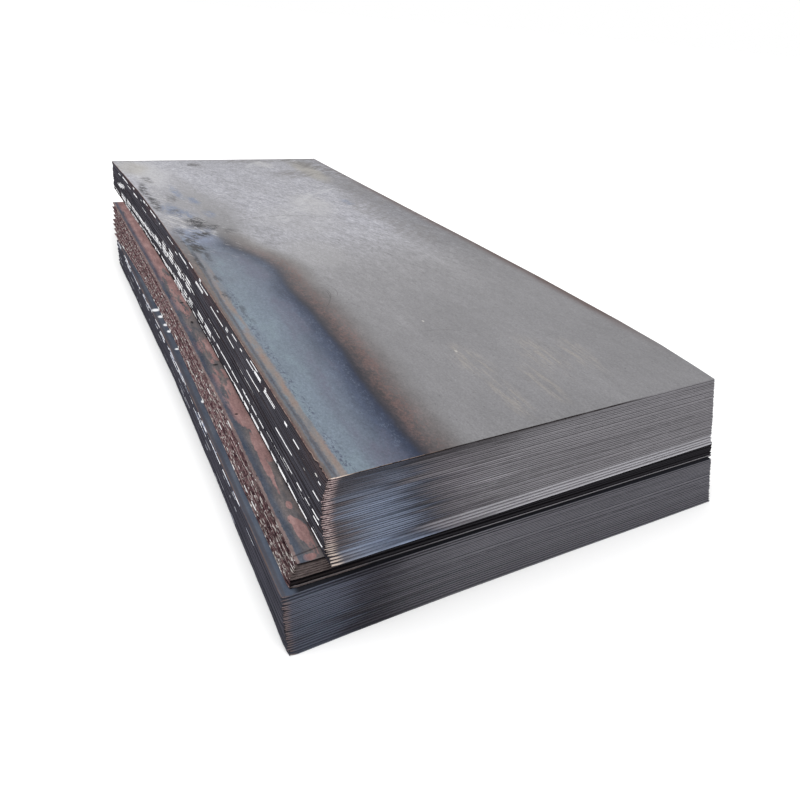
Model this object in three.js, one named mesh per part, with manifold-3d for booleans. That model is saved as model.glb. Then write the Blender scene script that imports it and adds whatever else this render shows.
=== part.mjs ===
// A pile of hot-rolled steel plates, lying flat on a level floor.
//
// Three stacks lie one on another: a wide lower stack, a thin middle stack and
// a tall upper stack. The stacks share their right-hand side, and the lower
// ones stand out on the left. Every plate is a flat rectangular sheet with
// sheared edges. The plates aren't squared up, so each one is a few
// millimetres out of line with its neighbours.
//
// Units are millimetres. +Z is up, the plates' length runs along Y and their
// width along X. The origin is at the bottom centre of the whole pile, and the
// near end of the pile faces -Y.
//
// The plates are nearly touching. They bear on one another through their
// waviness, which is drawn as a thin even gap. The same waviness makes the
// pile a little higher along the middle of its length than at its ends.
//
// A single plate is one mesh. A pack is five plates in one mesh: the gaps
// between the plates are cut into its four sides, and the plates run together
// out of sight behind them.

import * as THREE from "three";
import { mergeVertices } from "three/addons/utils/BufferGeometryUtils.js";
import Module from "manifold-3d";

const wasm = await Module();
wasm.setup();

// ---------------------------------------------------------------- dimensions
// Lengths along X and Y are first given in a working frame with its zero at
// the near left corner of the topmost plate. ORIGIN moves them to the pile's
// own frame.

// Upper stack: 36 plates of 4.8 mm on 4 plates of 7.2 mm.
const UPPER_WIDTH = 1496;
const UPPER_COUNT = 36;
const UPPER_THICK = 4.8;
const UPPER_PITCH = 5.3;
const UPPER_HEAVY_COUNT = 4;
const UPPER_HEAVY_THICK = 7.2;
const UPPER_HEAVY_PITCH = 8.2;
const UPPER_FAR_TOP = 3960; // far end of the topmost plate
const UPPER_FAR_BOTTOM = 4100; // far end of the lowest plate of the stack

// Middle stack: 6 plates of 5.6 mm on 2 plates of 8 mm.
const MIDDLE_RIGHT = 1505;
const MIDDLE_COUNT = 6;
const MIDDLE_THICK = 5.6;
const MIDDLE_PITCH = 6.0;
const MIDDLE_HEAVY_COUNT = 2;
const MIDDLE_HEAVY_THICK = 8.0;
const MIDDLE_HEAVY_PITCH = 8.6;
const MIDDLE_FAR_TOP = 3700;
const MIDDLE_FAR_BOTTOM = 3115;

// Lower stack: 28 plates of 5 mm.
const LOWER_COUNT = 28;
const LOWER_THICK = 5.1;
const LOWER_PITCH = 5.65;
const LOWER_FAR = 3010;

// Clear height between one stack and the next.
const LOWER_TO_MIDDLE = 0.5;
const HEAVY_TO_THIN = 1.5;
const MIDDLE_TO_UPPER = 0.7;
const UPPER_HEAVY_TO_THIN = 1.0;

// Packs.
const PACK = 5; // plates in a pack
const GAP_DEPTH = 22; // how far in from the edges the gaps between plates go
const STAGGER = 3; // how far a plate's left edge may be out of line
const SQUARE = 0.8; // the same for its right edge and its near end
const RAGGED = 4; // the same for its far end

// Rise of the pile along its length. Heights grow in proportion to their
// height above the floor, by CROWN at the top of the pile. The crest is
// further from the near end on the left than it is on the right.
const CROWN = 36;
const STATIONS = [100, 250, 500, 1000, 1600, 2300, 2900, 3800];
const CROWN_LEFT = [4.3, 8, 14, 27, 35, 34, 23, 5];
const CROWN_RIGHT = [19.5, 28, 32.5, 33, 25, 13, 4, -8];

// ------------------------------------------------------------------ profiles
// Upper stack: height above the floor, then the left edge and the right edge
// at the near end, then the Y of the near end on the left and on the right.
// The lower plates stand out towards the near end.
const UPPER_PROFILE = [
  [213, -26, 1486, -89, -81],
  [253, -35, 1491, -69, -65],
  [296, -36, 1494, -51, -50],
  [344, -32, 1497, -31, -31],
  [393, -24, 1497, -14, -14],
  [436, 0, 1496, 0, 0],
];
// Left edge of the upper stack at the far end, and its share of the near end's
// offset at a quarter, a half and three quarters of the length.
const UPPER_LEFT_FAR = -42;
const UPPER_LEFT_SHARE = [1, 0.5, 0.3, 0.4];
const UPPER_LEFT_DRIFT = [0, 0, 0, -7];
// Lower and middle stacks: share of the stack's height, then the right edge,
// then the Y of the near end on the left and on the right.
const LOWER_PROFILE = [
  [0, 1490, -155, -157],
  [0.076, 1494, -142, -148],
  [0.215, 1498, -130, -137],
  [0.38, 1499, -119, -128],
  [0.5, 1498, -112, -121],
  [0.93, 1493, -99, -106],
  [1, 1493, -89, -100],
];
const MIDDLE_PROFILE = [
  [0, MIDDLE_RIGHT, -70, -88],
  [1 / 7, MIDDLE_RIGHT, -66, -84],
  [2 / 7, MIDDLE_RIGHT, -59, -81],
  [6 / 7, MIDDLE_RIGHT, -48, -75],
  [1, MIDDLE_RIGHT, -44, -73],
];
// Left edge of the other stacks at the near end, at each quarter of the length
// and at the far end.
const LOWER_LEFT_TOP = [-165, -161, -158, -164, -169];
const LOWER_LEFT_BOTTOM = [-169, -157, -151, -162, -172];
const MIDDLE_LEFT_TOP = [-106, -93, -90, -95, -104];
const MIDDLE_LEFT_BOTTOM = [-138, -130, -123, -136, -170];

const COLOUR_UPPER = 0x6e7073;
const COLOUR_UPPER_EDGE = 0x4a4c50;
const COLOUR_MIDDLE = 0x6b5654;
const COLOUR_LOWER = 0x4d5158;

// -------------------------------------------------------------------- helpers
let seed = 20071;
function random() {
  seed = (seed * 1103515245 + 12345) % 2147483648;
  return seed / 2147483648;
}
const jitter = (amount) => (2 * random() - 1) * amount;
const QUARTERS = [0, 1, 2, 3, 4];
const lerp = THREE.MathUtils.lerp;

function table(rows, key, column) {
  if (key <= rows[0][0]) return rows[0][column];
  for (let i = 1; i < rows.length; i++)
    if (key <= rows[i][0])
      return lerp(
        rows[i - 1][column],
        rows[i][column],
        (key - rows[i - 1][0]) / (rows[i][0] - rows[i - 1][0]),
      );
  return rows[rows.length - 1][column];
}

// Rise at a point of the plan, at the top of the pile.
const CROWN_ROWS = [
  [-200, -4, -1.5],
  ...STATIONS.map((y, i) => [y, CROWN_LEFT[i], CROWN_RIGHT[i]]),
  [4200, 0, -12],
];
const PILE_HEIGHT = 437;
function rise(x, y) {
  const left = table(CROWN_ROWS, y, 1);
  const right = table(CROWN_ROWS, y, 2);
  return (lerp(left, right, x / UPPER_WIDTH) * CROWN) / 36 / PILE_HEIGHT;
}

// A plate from z to z + thick. left and right hold the X of its long edges at
// the near end, at each quarter of the length and at the far end. The near end
// is skew nearer on the left than halfway across, and skew further on the
// right.
function plateGeometry({ left, right, near, far, skew, z, thick }) {
  const y0 = near;
  const y1 = far;
  const cuts = [y0, ...STATIONS.filter((y) => y > y0 + 40 && y < y1 - 40), y1];
  const g = new THREE.BoxGeometry(1, 1, 1, 1, cuts.length - 1, 1);
  g.deleteAttribute("normal");
  g.deleteAttribute("uv");
  // The rise twists the faces a little, so the underside is split along the
  // same diagonals as the upper side, and neighbouring plates stay parallel.
  const under = g.groups[5];
  for (let i = under.start; i < under.start + under.count; i += 6) {
    const at = (k) => g.index.getX(i + k);
    const [a, b, c, d] = [at(0), at(1), at(4), at(2)];
    [a, b, c, a, c, d].forEach((v, k) => g.index.setX(i + k, v));
  }
  g.clearGroups();
  const p = g.getAttribute("position");
  const edge = (e, v) => {
    const k = Math.min(3, Math.max(0, Math.floor(v * 4)));
    return lerp(e[k], e[k + 1], v * 4 - k);
  };
  for (let i = 0; i < p.count; i++) {
    const station = Math.round((p.getY(i) + 0.5) * (cuts.length - 1));
    const y = cuts[station];
    const v = (y - near) / (far - near);
    const side = p.getX(i) > 0;
    const x = edge(side ? right : left, v);
    const yy = station === 0 ? y + (side ? skew : -skew) : y;
    const h = z + (p.getZ(i) > 0 ? thick : 0);
    p.setXYZ(i, x, yy, h * (1 + rise(x, yy)));
  }
  return mergeVertices(g, 1e-4);
}

function toSolid(geometry) {
  return new wasm.Manifold(
    new wasm.Mesh({
      numProp: 3,
      vertProperties: new Float32Array(geometry.getAttribute("position").array),
      triVerts: new Uint32Array(geometry.index.array),
    }),
  );
}

function toGeometry(solid) {
  const m = solid.getMesh();
  return new THREE.BufferGeometry()
    .setAttribute("position", new THREE.BufferAttribute(m.vertProperties, 3))
    .setIndex(new THREE.BufferAttribute(m.triVerts, 1));
}

// Plates that touch no others are one mesh each; a pack's plates run together
// in a block that lies GAP_DEPTH behind the edge that stands out least.
function packGeometry(plates) {
  const low = plates[0];
  const high = plates[plates.length - 1];
  const most = (key, i) => Math.max(...plates.map((p) => p[key][i]));
  const least = (key, i) => Math.min(...plates.map((p) => p[key][i]));
  const block = {
    left: QUARTERS.map((i) => most("left", i) + GAP_DEPTH),
    right: QUARTERS.map((i) => least("right", i) - GAP_DEPTH),
    near: Math.max(...plates.map((p) => p.near)) + GAP_DEPTH,
    far: Math.min(...plates.map((p) => p.far)) - GAP_DEPTH,
    skew: low.skew,
    z: low.z + low.thick / 2,
    thick: high.z + high.thick / 2 - low.z - low.thick / 2,
  };
  let solid = toSolid(plateGeometry(block));
  for (const p of plates) solid = solid.add(toSolid(plateGeometry(p)));
  return toGeometry(solid);
}

// ---------------------------------------------------------------------- pile
// Where a plate's near end lies, from its Y on the left and on the right.
const nearEnd = ([left, right], dy) => ({
  near: (left + right) / 2 + dy,
  skew: (right - left) / 2 + jitter(SQUARE / 2),
});
const between = (a, b, t) => a.map((v, i) => lerp(v, b[i], t));
const shifted = (a, dx) => a.map((v) => v + dx);

const lowerPlates = [];
for (let i = 0; i < LOWER_COUNT; i++) {
  const t = i / (LOWER_COUNT - 1);
  const dx = jitter(STAGGER);
  const right = table(LOWER_PROFILE, t, 1) + dx * 0.2 + jitter(SQUARE);
  lowerPlates.push({
    left: shifted(between(LOWER_LEFT_BOTTOM, LOWER_LEFT_TOP, t), dx),
    right: QUARTERS.map(() => right),
    ...nearEnd([table(LOWER_PROFILE, t, 2), table(LOWER_PROFILE, t, 3)], jitter(SQUARE)),
    far: LOWER_FAR + jitter(RAGGED),
    z: i * LOWER_PITCH,
    thick: LOWER_THICK,
  });
}

let z = lowerPlates[LOWER_COUNT - 1].z + LOWER_THICK + LOWER_TO_MIDDLE;
const middlePlates = [];
const middleTotal = MIDDLE_HEAVY_COUNT + MIDDLE_COUNT;
for (let i = 0; i < middleTotal; i++) {
  const t = i / (middleTotal - 1);
  const heavy = i < MIDDLE_HEAVY_COUNT;
  const dx = jitter(STAGGER);
  const right = table(MIDDLE_PROFILE, t, 1) + jitter(SQUARE);
  middlePlates.push({
    left: shifted(between(MIDDLE_LEFT_BOTTOM, MIDDLE_LEFT_TOP, t), dx),
    right: QUARTERS.map(() => right),
    ...nearEnd([table(MIDDLE_PROFILE, t, 2), table(MIDDLE_PROFILE, t, 3)], jitter(SQUARE)),
    far: lerp(MIDDLE_FAR_BOTTOM, MIDDLE_FAR_TOP, t) + jitter(RAGGED),
    z,
    thick: heavy ? MIDDLE_HEAVY_THICK : MIDDLE_THICK,
  });
  z += heavy ? MIDDLE_HEAVY_PITCH : MIDDLE_PITCH;
  if (i === MIDDLE_HEAVY_COUNT - 1)
    z += HEAVY_TO_THIN - (MIDDLE_HEAVY_PITCH - MIDDLE_HEAVY_THICK);
}
z += MIDDLE_TO_UPPER - (MIDDLE_PITCH - MIDDLE_THICK);

const upperPlates = [];
const upperTotal = UPPER_HEAVY_COUNT + UPPER_COUNT;
for (let i = 0; i < upperTotal; i++) {
  const t = i / (upperTotal - 1);
  const heavy = i < UPPER_HEAVY_COUNT;
  const top = i === upperTotal - 1;
  const square = top ? 0 : SQUARE;
  const dx = jitter(top ? 0 : STAGGER);
  const left = table(UPPER_PROFILE, z, 1);
  const right = table(UPPER_PROFILE, z, 2) + dx * 0.2 + jitter(square);
  upperPlates.push({
    left: [
      ...UPPER_LEFT_SHARE.map((share, k) => left * share + UPPER_LEFT_DRIFT[k] + dx),
      UPPER_LEFT_FAR + dx,
    ],
    right: QUARTERS.map(() => right),
    ...nearEnd([table(UPPER_PROFILE, z, 3), table(UPPER_PROFILE, z, 4)], jitter(square)),
    far: lerp(UPPER_FAR_BOTTOM, UPPER_FAR_TOP, t) + jitter(RAGGED),
    z,
    thick: heavy ? UPPER_HEAVY_THICK : UPPER_THICK,
  });
  z += heavy ? UPPER_HEAVY_PITCH : UPPER_PITCH;
  if (i === UPPER_HEAVY_COUNT - 1)
    z += UPPER_HEAVY_TO_THIN - (UPPER_HEAVY_PITCH - UPPER_HEAVY_THICK);
}

const pile = new THREE.Group();
pile.name = "steel_plate_pile";

function add(name, geometry, color, roughness) {
  const mesh = new THREE.Mesh(
    geometry,
    new THREE.MeshStandardMaterial({ color, roughness, metalness: 0.85 }),
  );
  mesh.name = name;
  pile.add(mesh);
}

// Lower stack: two single plates at the bottom, packs, one single on top.
add("lower_plate_1", plateGeometry(lowerPlates[0]), COLOUR_LOWER, 0.55);
add("lower_plate_2", plateGeometry(lowerPlates[1]), COLOUR_LOWER, 0.55);
for (let i = 2, n = 1; i + PACK < LOWER_COUNT; i += PACK, n++)
  add("lower_pack_" + n, packGeometry(lowerPlates.slice(i, i + PACK)), COLOUR_LOWER, 0.55);
add("lower_plate_top", plateGeometry(lowerPlates[LOWER_COUNT - 1]), COLOUR_LOWER, 0.5);

// Middle stack: the two heavy plates, a pack, one single on top.
add("middle_heavy_plate_1", plateGeometry(middlePlates[0]), COLOUR_MIDDLE, 0.6);
add("middle_heavy_plate_2", plateGeometry(middlePlates[1]), COLOUR_MIDDLE, 0.6);
add("middle_pack", packGeometry(middlePlates.slice(2, middleTotal - 1)), COLOUR_MIDDLE, 0.65);
add("middle_plate_top", plateGeometry(middlePlates[middleTotal - 1]), COLOUR_MIDDLE, 0.55);

// Upper stack: the four heavy plates, packs, one single on top.
for (let i = 0; i < UPPER_HEAVY_COUNT; i++)
  add("upper_heavy_plate_" + (i + 1), plateGeometry(upperPlates[i]), COLOUR_UPPER_EDGE, 0.5);
for (let i = UPPER_HEAVY_COUNT, n = 1; i + PACK < upperTotal; i += PACK, n++)
  add("upper_pack_" + n, packGeometry(upperPlates.slice(i, i + PACK)), COLOUR_UPPER_EDGE, 0.5);
add("upper_plate_top", plateGeometry(upperPlates[upperTotal - 1]), COLOUR_UPPER, 0.45);

// The origin goes to the bottom centre of the pile.
const box = new THREE.Box3();
for (const mesh of pile.children) {
  mesh.geometry.computeBoundingBox();
  box.union(mesh.geometry.boundingBox);
}
const centre = box.getCenter(new THREE.Vector3());
for (const mesh of pile.children)
  mesh.geometry.translate(-centre.x, -centre.y, -box.min.z);

export default pile;
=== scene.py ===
import bpy, math
import numpy as np
from mathutils import Vector, Matrix


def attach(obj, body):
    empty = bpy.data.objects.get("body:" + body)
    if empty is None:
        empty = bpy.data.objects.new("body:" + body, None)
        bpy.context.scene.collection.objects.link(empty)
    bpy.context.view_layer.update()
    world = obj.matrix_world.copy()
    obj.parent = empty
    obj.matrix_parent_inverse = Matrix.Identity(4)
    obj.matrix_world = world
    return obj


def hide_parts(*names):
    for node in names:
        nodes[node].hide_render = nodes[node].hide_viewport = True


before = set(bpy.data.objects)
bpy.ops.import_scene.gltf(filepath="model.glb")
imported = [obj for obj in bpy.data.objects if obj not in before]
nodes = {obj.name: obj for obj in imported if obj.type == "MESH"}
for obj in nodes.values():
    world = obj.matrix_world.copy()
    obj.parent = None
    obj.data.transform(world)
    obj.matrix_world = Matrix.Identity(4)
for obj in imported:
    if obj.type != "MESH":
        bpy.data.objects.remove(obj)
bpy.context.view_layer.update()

# Object coordinates are the pile's own frame, in metres. The plates are laid
# out in the CAD's working frame, in millimetres, with its zero at the near left
# corner of the topmost plate. SHIFT takes the working frame to the pile's.
SHIFT = (-665.7, -1971.9, 0.0)


# ---------------------------------------------------------------- camera
def camera():
    yaw, pitch, roll = (math.radians(a) for a in (30.3, -30.9, 5.0))
    f = Vector((math.sin(yaw) * math.cos(pitch), math.cos(yaw) * math.cos(pitch), math.sin(pitch)))
    right = f.cross(Vector((0, 0, 1))).normalized()
    down = f.cross(right)
    c, s = math.cos(roll), math.sin(roll)
    r2 = c * right - s * down
    d2 = s * right + c * down
    cam = bpy.data.cameras.new("camera")
    cam.lens, cam.sensor_width = 640 / 800 * 36, 36
    cam.clip_start, cam.clip_end = 0.05, 400
    o = bpy.data.objects.new("camera", cam)
    m = Matrix((r2, -d2, -f)).transposed().to_4x4()
    m.translation = Vector((-1.1837, -3.1919, 1.482))
    o.matrix_world = m
    bpy.context.scene.collection.objects.link(o)
    bpy.context.scene.camera = o


camera()

# ---------------------------------------------------------------- the plates
# The same tables as the CAD's, so that each detailed plate lies where its solid
# does.
STATIONS = [100, 250, 500, 1000, 1600, 2300, 2900, 3800]
CROWN_Y = [-200] + STATIONS + [4200]
CROWN_L = [-4, 4.3, 8, 14, 27, 35, 34, 23, 5, 0]
CROWN_R = [-1.5, 19.5, 28, 32.5, 33, 25, 13, 4, -8, -12]
UPPER_PROFILE = np.array([
    [213, -26, 1486, -89, -81],
    [253, -35, 1491, -69, -65],
    [296, -36, 1494, -51, -50],
    [344, -32, 1497, -31, -31],
    [393, -24, 1497, -14, -14],
    [436, 0, 1496, 0, 0],
], float)
LOWER_PROFILE = np.array([
    [0, 1490, -155, -157],
    [0.076, 1494, -142, -148],
    [0.215, 1498, -130, -137],
    [0.38, 1499, -119, -128],
    [0.5, 1498, -112, -121],
    [0.93, 1493, -99, -106],
    [1, 1493, -89, -100],
], float)
MIDDLE_PROFILE = np.array([
    [0, 1505, -70, -88],
    [1 / 7, 1505, -66, -84],
    [2 / 7, 1505, -59, -81],
    [6 / 7, 1505, -48, -75],
    [1, 1505, -44, -73],
], float)


def rise(x, y):
    l = np.interp(y, CROWN_Y, CROWN_L)
    r = np.interp(y, CROWN_Y, CROWN_R)
    return (l + (r - l) * x / 1496.0) / 437.0


seed_now = 20071.0


def rand():
    global seed_now
    seed_now = math.fmod(seed_now * 1103515245.0 + 12345.0, 2147483648.0)
    return seed_now / 2147483648.0


def jitter(a):
    return (2 * rand() - 1) * a


def lerp(a, b, t):
    return a + (b - a) * t


def between(a, b, t):
    return [lerp(p, q, t) for p, q in zip(a, b)]


def near_end(lr, dy):
    return {"near": (lr[0] + lr[1]) / 2 + dy, "skew": (lr[1] - lr[0]) / 2 + jitter(SQUARE / 2)}


def profile(rows, key, column):
    return float(np.interp(key, rows[:, 0], rows[:, column]))


SQUARE, RAGGED = 0.8, 4


lower, middle, upper = [], [], []
for i in range(28):
    t = i / 27
    dx = jitter(3)
    right = profile(LOWER_PROFILE, t, 1) + dx * 0.2 + jitter(SQUARE)
    ends = near_end([profile(LOWER_PROFILE, t, 2), profile(LOWER_PROFILE, t, 3)], jitter(SQUARE))
    lower.append({
        "left": [v + dx for v in between([-169, -157, -151, -162, -172], [-165, -161, -158, -164, -169], t)],
        "right": right, **ends, "far": 3010 + jitter(RAGGED), "z": i * 5.65, "thick": 5.1, "bow": 7.0,
    })
z = lower[-1]["z"] + 5.1 + 0.5
for i in range(8):
    t = i / 7
    heavy = i < 2
    dx = jitter(3)
    right = profile(MIDDLE_PROFILE, t, 1) + jitter(SQUARE)
    ends = near_end([profile(MIDDLE_PROFILE, t, 2), profile(MIDDLE_PROFILE, t, 3)], jitter(SQUARE))
    middle.append({
        "left": [v + dx for v in between([-138, -130, -123, -136, -170], [-106, -93, -90, -95, -104], t)],
        "right": right, **ends, "far": lerp(3115, 3700, t) + jitter(RAGGED), "z": z,
        "thick": 8.0 if heavy else 5.8,
    })
    z += 8.6 if heavy else 6.0
    if i == 1:
        z += 1.5 - 0.6
z += 0.7 - 0.4
for i in range(40):
    t = i / 39
    heavy = i < 4
    square = 0 if i == 39 else SQUARE
    dx = jitter(0 if i == 39 else 3)
    left = profile(UPPER_PROFILE, z, 1)
    right = profile(UPPER_PROFILE, z, 2) + dx * 0.2 + jitter(square)
    ends = near_end([profile(UPPER_PROFILE, z, 3), profile(UPPER_PROFILE, z, 4)], jitter(square))
    upper.append({
        "left": [left * s + d + dx for s, d in zip([1, 0.5, 0.3, 0.4], [0, 0, 0, -7])] + [-42 + dx],
        "right": right, **ends, "far": lerp(4100, 3960, t) + jitter(RAGGED), "z": z,
        "thick": 8.0 if heavy else 4.8,
    })
    z += 8.2 if heavy else 5.3
    if i == 3:
        z += 1.0 - 1.0


def waves(s, step, rng):
    """Smooth random values from -1 to 1 along s, with a new one every step."""
    s = np.asarray(s, float)
    k = (s - s.min()) / step
    v = rng.uniform(-1, 1, int(k.max()) + 3)
    i = k.astype(int)
    f = k - i
    f = f * f * (3 - 2 * f)
    return v[i] * (1 - f) + v[i + 1] * f


# Painted highlights: bright flashes on the upper stack's left side: from, to along the plates, and the lowest and
# highest level they take in, in millimetres.
FLASHES = [
    (15, 32, 406, 410), (185, 236, 406, 410), (290, 315, 413, 417), (405, 515, 407, 411), (550, 622, 418, 422), (600, 682, 427, 431),
    (630, 716, 414, 418), (770, 796, 417, 421), (840, 902, 420, 424), (960, 996, 402, 406), (1025, 1222, 393, 399), (550, 702, 382, 388),
    (865, 966, 382, 386), (210, 362, 368, 372), (-5, 42, 374, 378), (1270, 1332, 422, 426), (1400, 1432, 428, 432), (1560, 1632, 431, 435),
    (1355, 1492, 396, 400), (1690, 1852, 408, 412), (1880, 1932, 389, 393), (1990, 2122, 406, 410), (2425, 2492, 418, 422), (2510, 2582, 418, 422),
    (2670, 2722, 420, 424), (2750, 2812, 418, 422), (2720, 2852, 372, 376), (3030, 3152, 386, 390), (3260, 3362, 390, 394), (3370, 3562, 402, 406),
    (3650, 3732, 394, 398), (3510, 3600, 336, 356), (3580, 3680, 322, 344), (3660, 3760, 308, 330), (3740, 3830, 298, 314),
    (-25, 22, 324, 328), (-25, 12, 310, 314), (50, 86, 314, 318), (115, 156, 316, 320), (195, 282, 316, 320), (95, 152, 300, 304), (235, 372, 300, 304),
    (390, 456, 302, 306), (475, 540, 284, 302), (560, 622, 286, 300), (645, 690, 286, 304), (700, 736, 286, 298), (810, 900, 280, 292), (915, 1065, 278, 290),
    (1080, 1132, 280, 284), (1160, 1212, 278, 282), (1230, 1332, 264, 290),
    (1470, 1500, 346, 350), (1520, 1570, 334, 352), (1590, 1690, 318, 362), (1720, 1760, 326, 350), (1790, 1880, 304, 352), (1900, 1960, 318, 340),
    (1990, 2090, 312, 358), (2110, 2150, 300, 330), (2170, 2260, 288, 352), (2300, 2360, 296, 320), (2380, 2480, 290, 322), (2500, 2580, 282, 312),
    (2620, 2720, 274, 306), (2740, 2830, 272, 300), (2850, 3030, 270, 292), (3050, 3160, 262, 292), (3180, 3290, 260, 286), (3330, 3480, 256, 280), (3530, 3710, 240, 270),
    (1230, 1340, 264, 290), (1370, 1470, 262, 288), (1570, 1660, 256, 274), (1690, 1770, 254, 270), (1800, 1930, 246, 270), (1950, 2030, 242, 264), (2050, 2130, 240, 262),
    (2150, 2330, 224, 252), (2380, 2460, 228, 254), (2480, 2570, 226, 250), (2630, 2740, 226, 252), (2760, 2880, 224, 248), (2930, 3090, 216, 234), (3110, 3380, 214, 232), (3400, 3630, 214, 230), (3830, 4030, 220, 240),
    (-55, 26, 258, 264), (65, 130, 240, 262), (145, 232, 242, 262), (246, 330, 240, 262), (345, 402, 242, 260), (420, 520, 245, 262), (535, 632, 247, 260), (660, 722, 245, 260),
    (735, 860, 236, 258), (880, 1012, 232, 254), (1120, 1220, 222, 245), (1235, 1332, 220, 243), (1350, 1482, 224, 244), (1510, 1620, 222, 242), (1640, 1732, 220, 240),
    (1750, 1880, 216, 234), (1900, 2050, 214, 230),
]
# dimmer painted highlights, in the same columns
DIM = [(485, 512, 418, 422), (575, 832, 348, 352), (1060, 1282, 331, 335), (1090, 1122, 419, 423), (1290, 1412, 421, 425), (1640, 1682, 398, 402), (2290, 2342, 414, 418), (2880, 2932, 400, 404), (3100, 3162, 418, 422)]


def random_flashes(rng, count, y0, y1, mean):
    out = []
    for _ in range(rng.poisson(count)):
        a = rng.uniform(y0, y1)
        out.append((a, a + mean * rng.uniform(0.3, 1.9), rng.choice([1.0, 1.0, 0.6])))
    return out


def flash_at(Y, spans):
    """1 inside the spans (from, to, strength), falling to 0 outside."""
    f = np.zeros(len(Y))
    for a, b, w in spans:
        f = np.maximum(f, w * np.clip(0.5 + np.minimum(Y - a, b - Y) / 16.0, 0, 1))
    return f


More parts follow.
